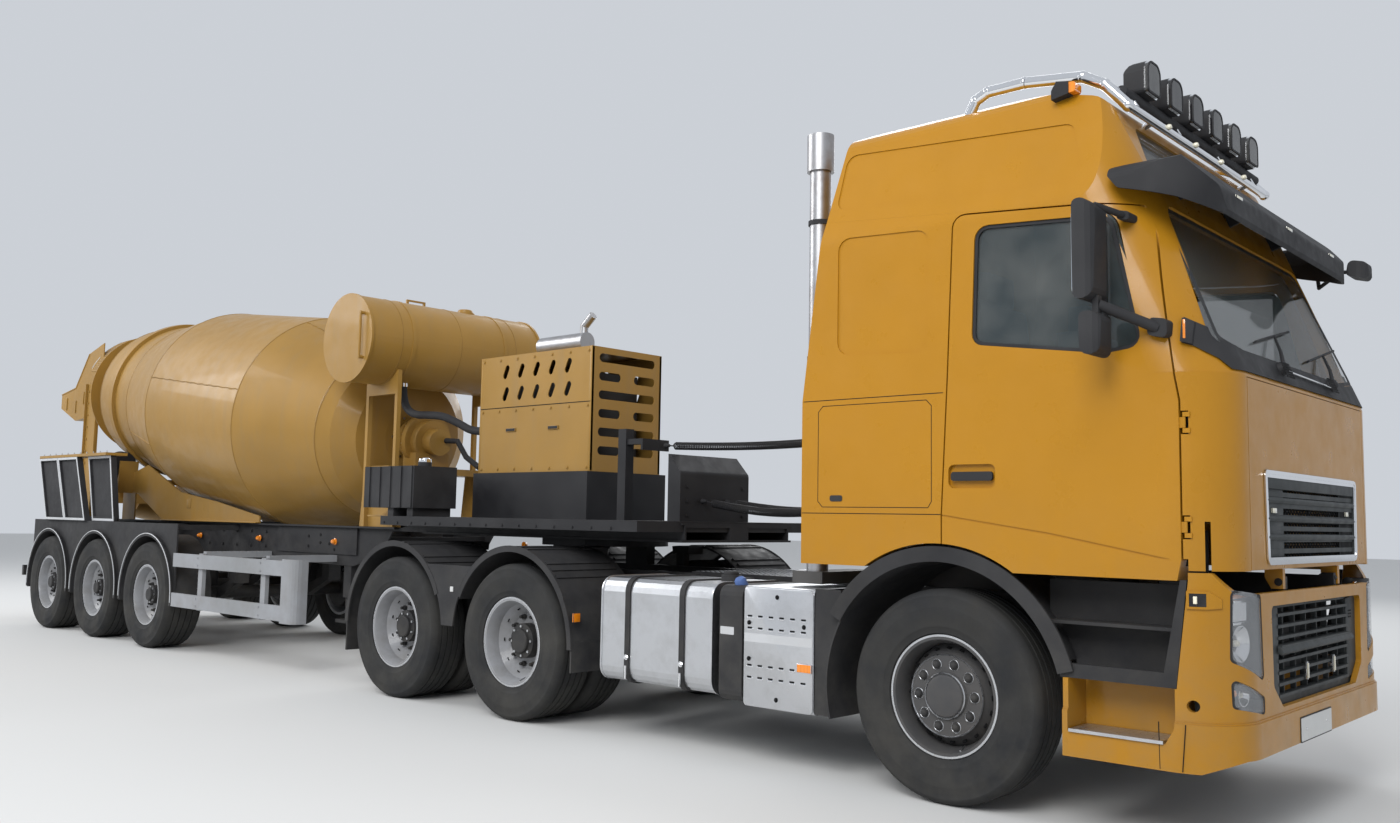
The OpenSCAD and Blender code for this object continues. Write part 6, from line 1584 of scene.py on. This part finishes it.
class MixerDrumSettings(PropertyGroup):
    weld_width: FloatProperty(name="Weld width", description="Width of the drum's weld seams", unit="LENGTH",
                              default=0.022, min=0.005, max=0.05)
    weld_height: FloatProperty(name="Weld height", description="Height of the drum's weld seams",
                               unit="LENGTH", default=0.004, min=0.001, max=0.01)


class MixerSettings(PropertyGroup):
    stage: PointerProperty(type=MixerStageSettings)
    finish: PointerProperty(type=MixerFinishSettings)
    leads: PointerProperty(type=MixerLeadSettings)
    tyres: PointerProperty(type=MixerTyreSettings)
    drum: PointerProperty(type=MixerDrumSettings)


# Operators
class MIXER_OT_stage(Operator):
    """Sets up the camera, the floor and the light"""
    bl_idname = "mixer.stage"
    bl_label = "Stage"

    def execute(self, context):
        make_stage(context.scene.mixer.stage)
        return {"FINISHED"}


class MIXER_OT_finishes(Operator):
    """Mixes the finishes and coats the CAD pieces with them"""
    bl_idname = "mixer.finishes"
    bl_label = "Finishes"

    def execute(self, context):
        finish = context.scene.mixer.finish
        make_finishes(tuple(finish.cab_yellow), tuple(finish.drum_yellow), finish.dust)
        coat_nodes()
        return {"FINISHED"}


class MIXER_OT_leads(Operator):
    """Hangs the coiled leads between the tractor and the trailer"""
    bl_idname = "mixer.leads"
    bl_label = "Leads"

    def execute(self, context):
        make_leads(context.scene.mixer.leads)
        return {"FINISHED"}


class MIXER_OT_wheels(Operator):
    """Builds the wheels with their treads, nuts and hub covers"""
    bl_idname = "mixer.wheels"
    bl_label = "Wheels"

    def execute(self, context):
        make_wheels(context.scene.mixer.tyres)
        return {"FINISHED"}


class MIXER_OT_lamps(Operator):
    """Fits the insides and rims of the headlamps and fog lamps"""
    bl_idname = "mixer.lamps"
    bl_label = "Lamps"

    def execute(self, context):
        make_lamps()
        return {"FINISHED"}


class MIXER_OT_nose(Operator):
    """Fits the grilles, the blank plate and the seams of the bumper"""
    bl_idname = "mixer.nose"
    bl_label = "Nose"

    def execute(self, context):
        make_nose()
        return {"FINISHED"}


class MIXER_OT_windscreen(Operator):
    """Fits the windscreen's band, the wipers and the lamps round it"""
    bl_idname = "mixer.windscreen"
    bl_label = "Windscreen"

    def execute(self, context):
        make_windscreen()
        return {"FINISHED"}


class MIXER_OT_cab_sides(Operator):
    """Fits the trim of the doors and side walls, the mirrors' glass and the bar's lamps"""
    bl_idname = "mixer.cab_sides"
    bl_label = "Cab sides"

    def execute(self, context):
        make_cab_sides()
        return {"FINISHED"}


class MIXER_OT_seats(Operator):
    """Upholsters the seats and the bunk"""
    bl_idname = "mixer.seats"
    bl_label = "Seats"

    def execute(self, context):
        make_seats()
        return {"FINISHED"}


class MIXER_OT_chassis(Operator):
    """Fits the covers, bands, bolts and lamps of the tractor's chassis"""
    bl_idname = "mixer.chassis"
    bl_label = "Chassis"

    def execute(self, context):
        make_chassis()
        return {"FINISHED"}


class MIXER_OT_trailer(Operator):
    """Fits the trim of the trailer, its engine, tanks and gearbox"""
    bl_idname = "mixer.trailer"
    bl_label = "Trailer"

    def execute(self, context):
        make_trailer()
        return {"FINISHED"}


class MIXER_OT_drum(Operator):
    """Adds the drum's weld seams, rings and blades"""
    bl_idname = "mixer.drum"
    bl_label = "Drum"

    def execute(self, context):
        make_drum_details(context.scene.mixer.drum)
        return {"FINISHED"}


class MIXER_OT_rear(Operator):
    """Fits the guard over the mouth, the hopper's flanges, the chutes' edges and the rear lamps"""
    bl_idname = "mixer.rear"
    bl_label = "Rear"

    def execute(self, context):
        make_rear()
        return {"FINISHED"}


STEPS = ("stage", "finishes", "leads", "wheels", "lamps", "nose", "windscreen", "cab_sides", "seats",
         "chassis", "trailer", "drum", "rear")


class MIXER_PT_sidebar(Panel):
    """Lists the mixer's sizes, colours and building steps"""
    bl_idname = "MIXER_PT_sidebar"
    bl_label = "Concrete mixer"
    bl_space_type = "VIEW_3D"
    bl_region_type = "UI"
    bl_category = "Mixer"

    def draw(self, context):
        settings = context.scene.mixer
        for group in (settings.stage, settings.finish, settings.leads, settings.tyres, settings.drum):
            box = self.layout.box()
            for name in group.bl_rna.properties.keys():
                if name not in ("rna_type", "name"):
                    box.prop(group, name)
        for step in STEPS:
            self.layout.operator("mixer." + step)


CLASSES = (MixerStageSettings, MixerFinishSettings, MixerLeadSettings, MixerTyreSettings, MixerDrumSettings,
           MixerSettings, MIXER_OT_stage, MIXER_OT_finishes, MIXER_OT_leads, MIXER_OT_wheels, MIXER_OT_lamps,
           MIXER_OT_nose, MIXER_OT_windscreen, MIXER_OT_cab_sides, MIXER_OT_seats, MIXER_OT_chassis,
           MIXER_OT_trailer, MIXER_OT_drum, MIXER_OT_rear, MIXER_PT_sidebar)


def register():
    for item in CLASSES:
        bpy.utils.register_class(item)
    bpy.types.Scene.mixer = PointerProperty(type=MixerSettings)


def unregister():
    del bpy.types.Scene.mixer
    for item in reversed(CLASSES):
        bpy.utils.unregister_class(item)


def main():
    register()
    for step in STEPS:
        getattr(bpy.ops.mixer, step)()


if __name__ == "__main__":
    main()
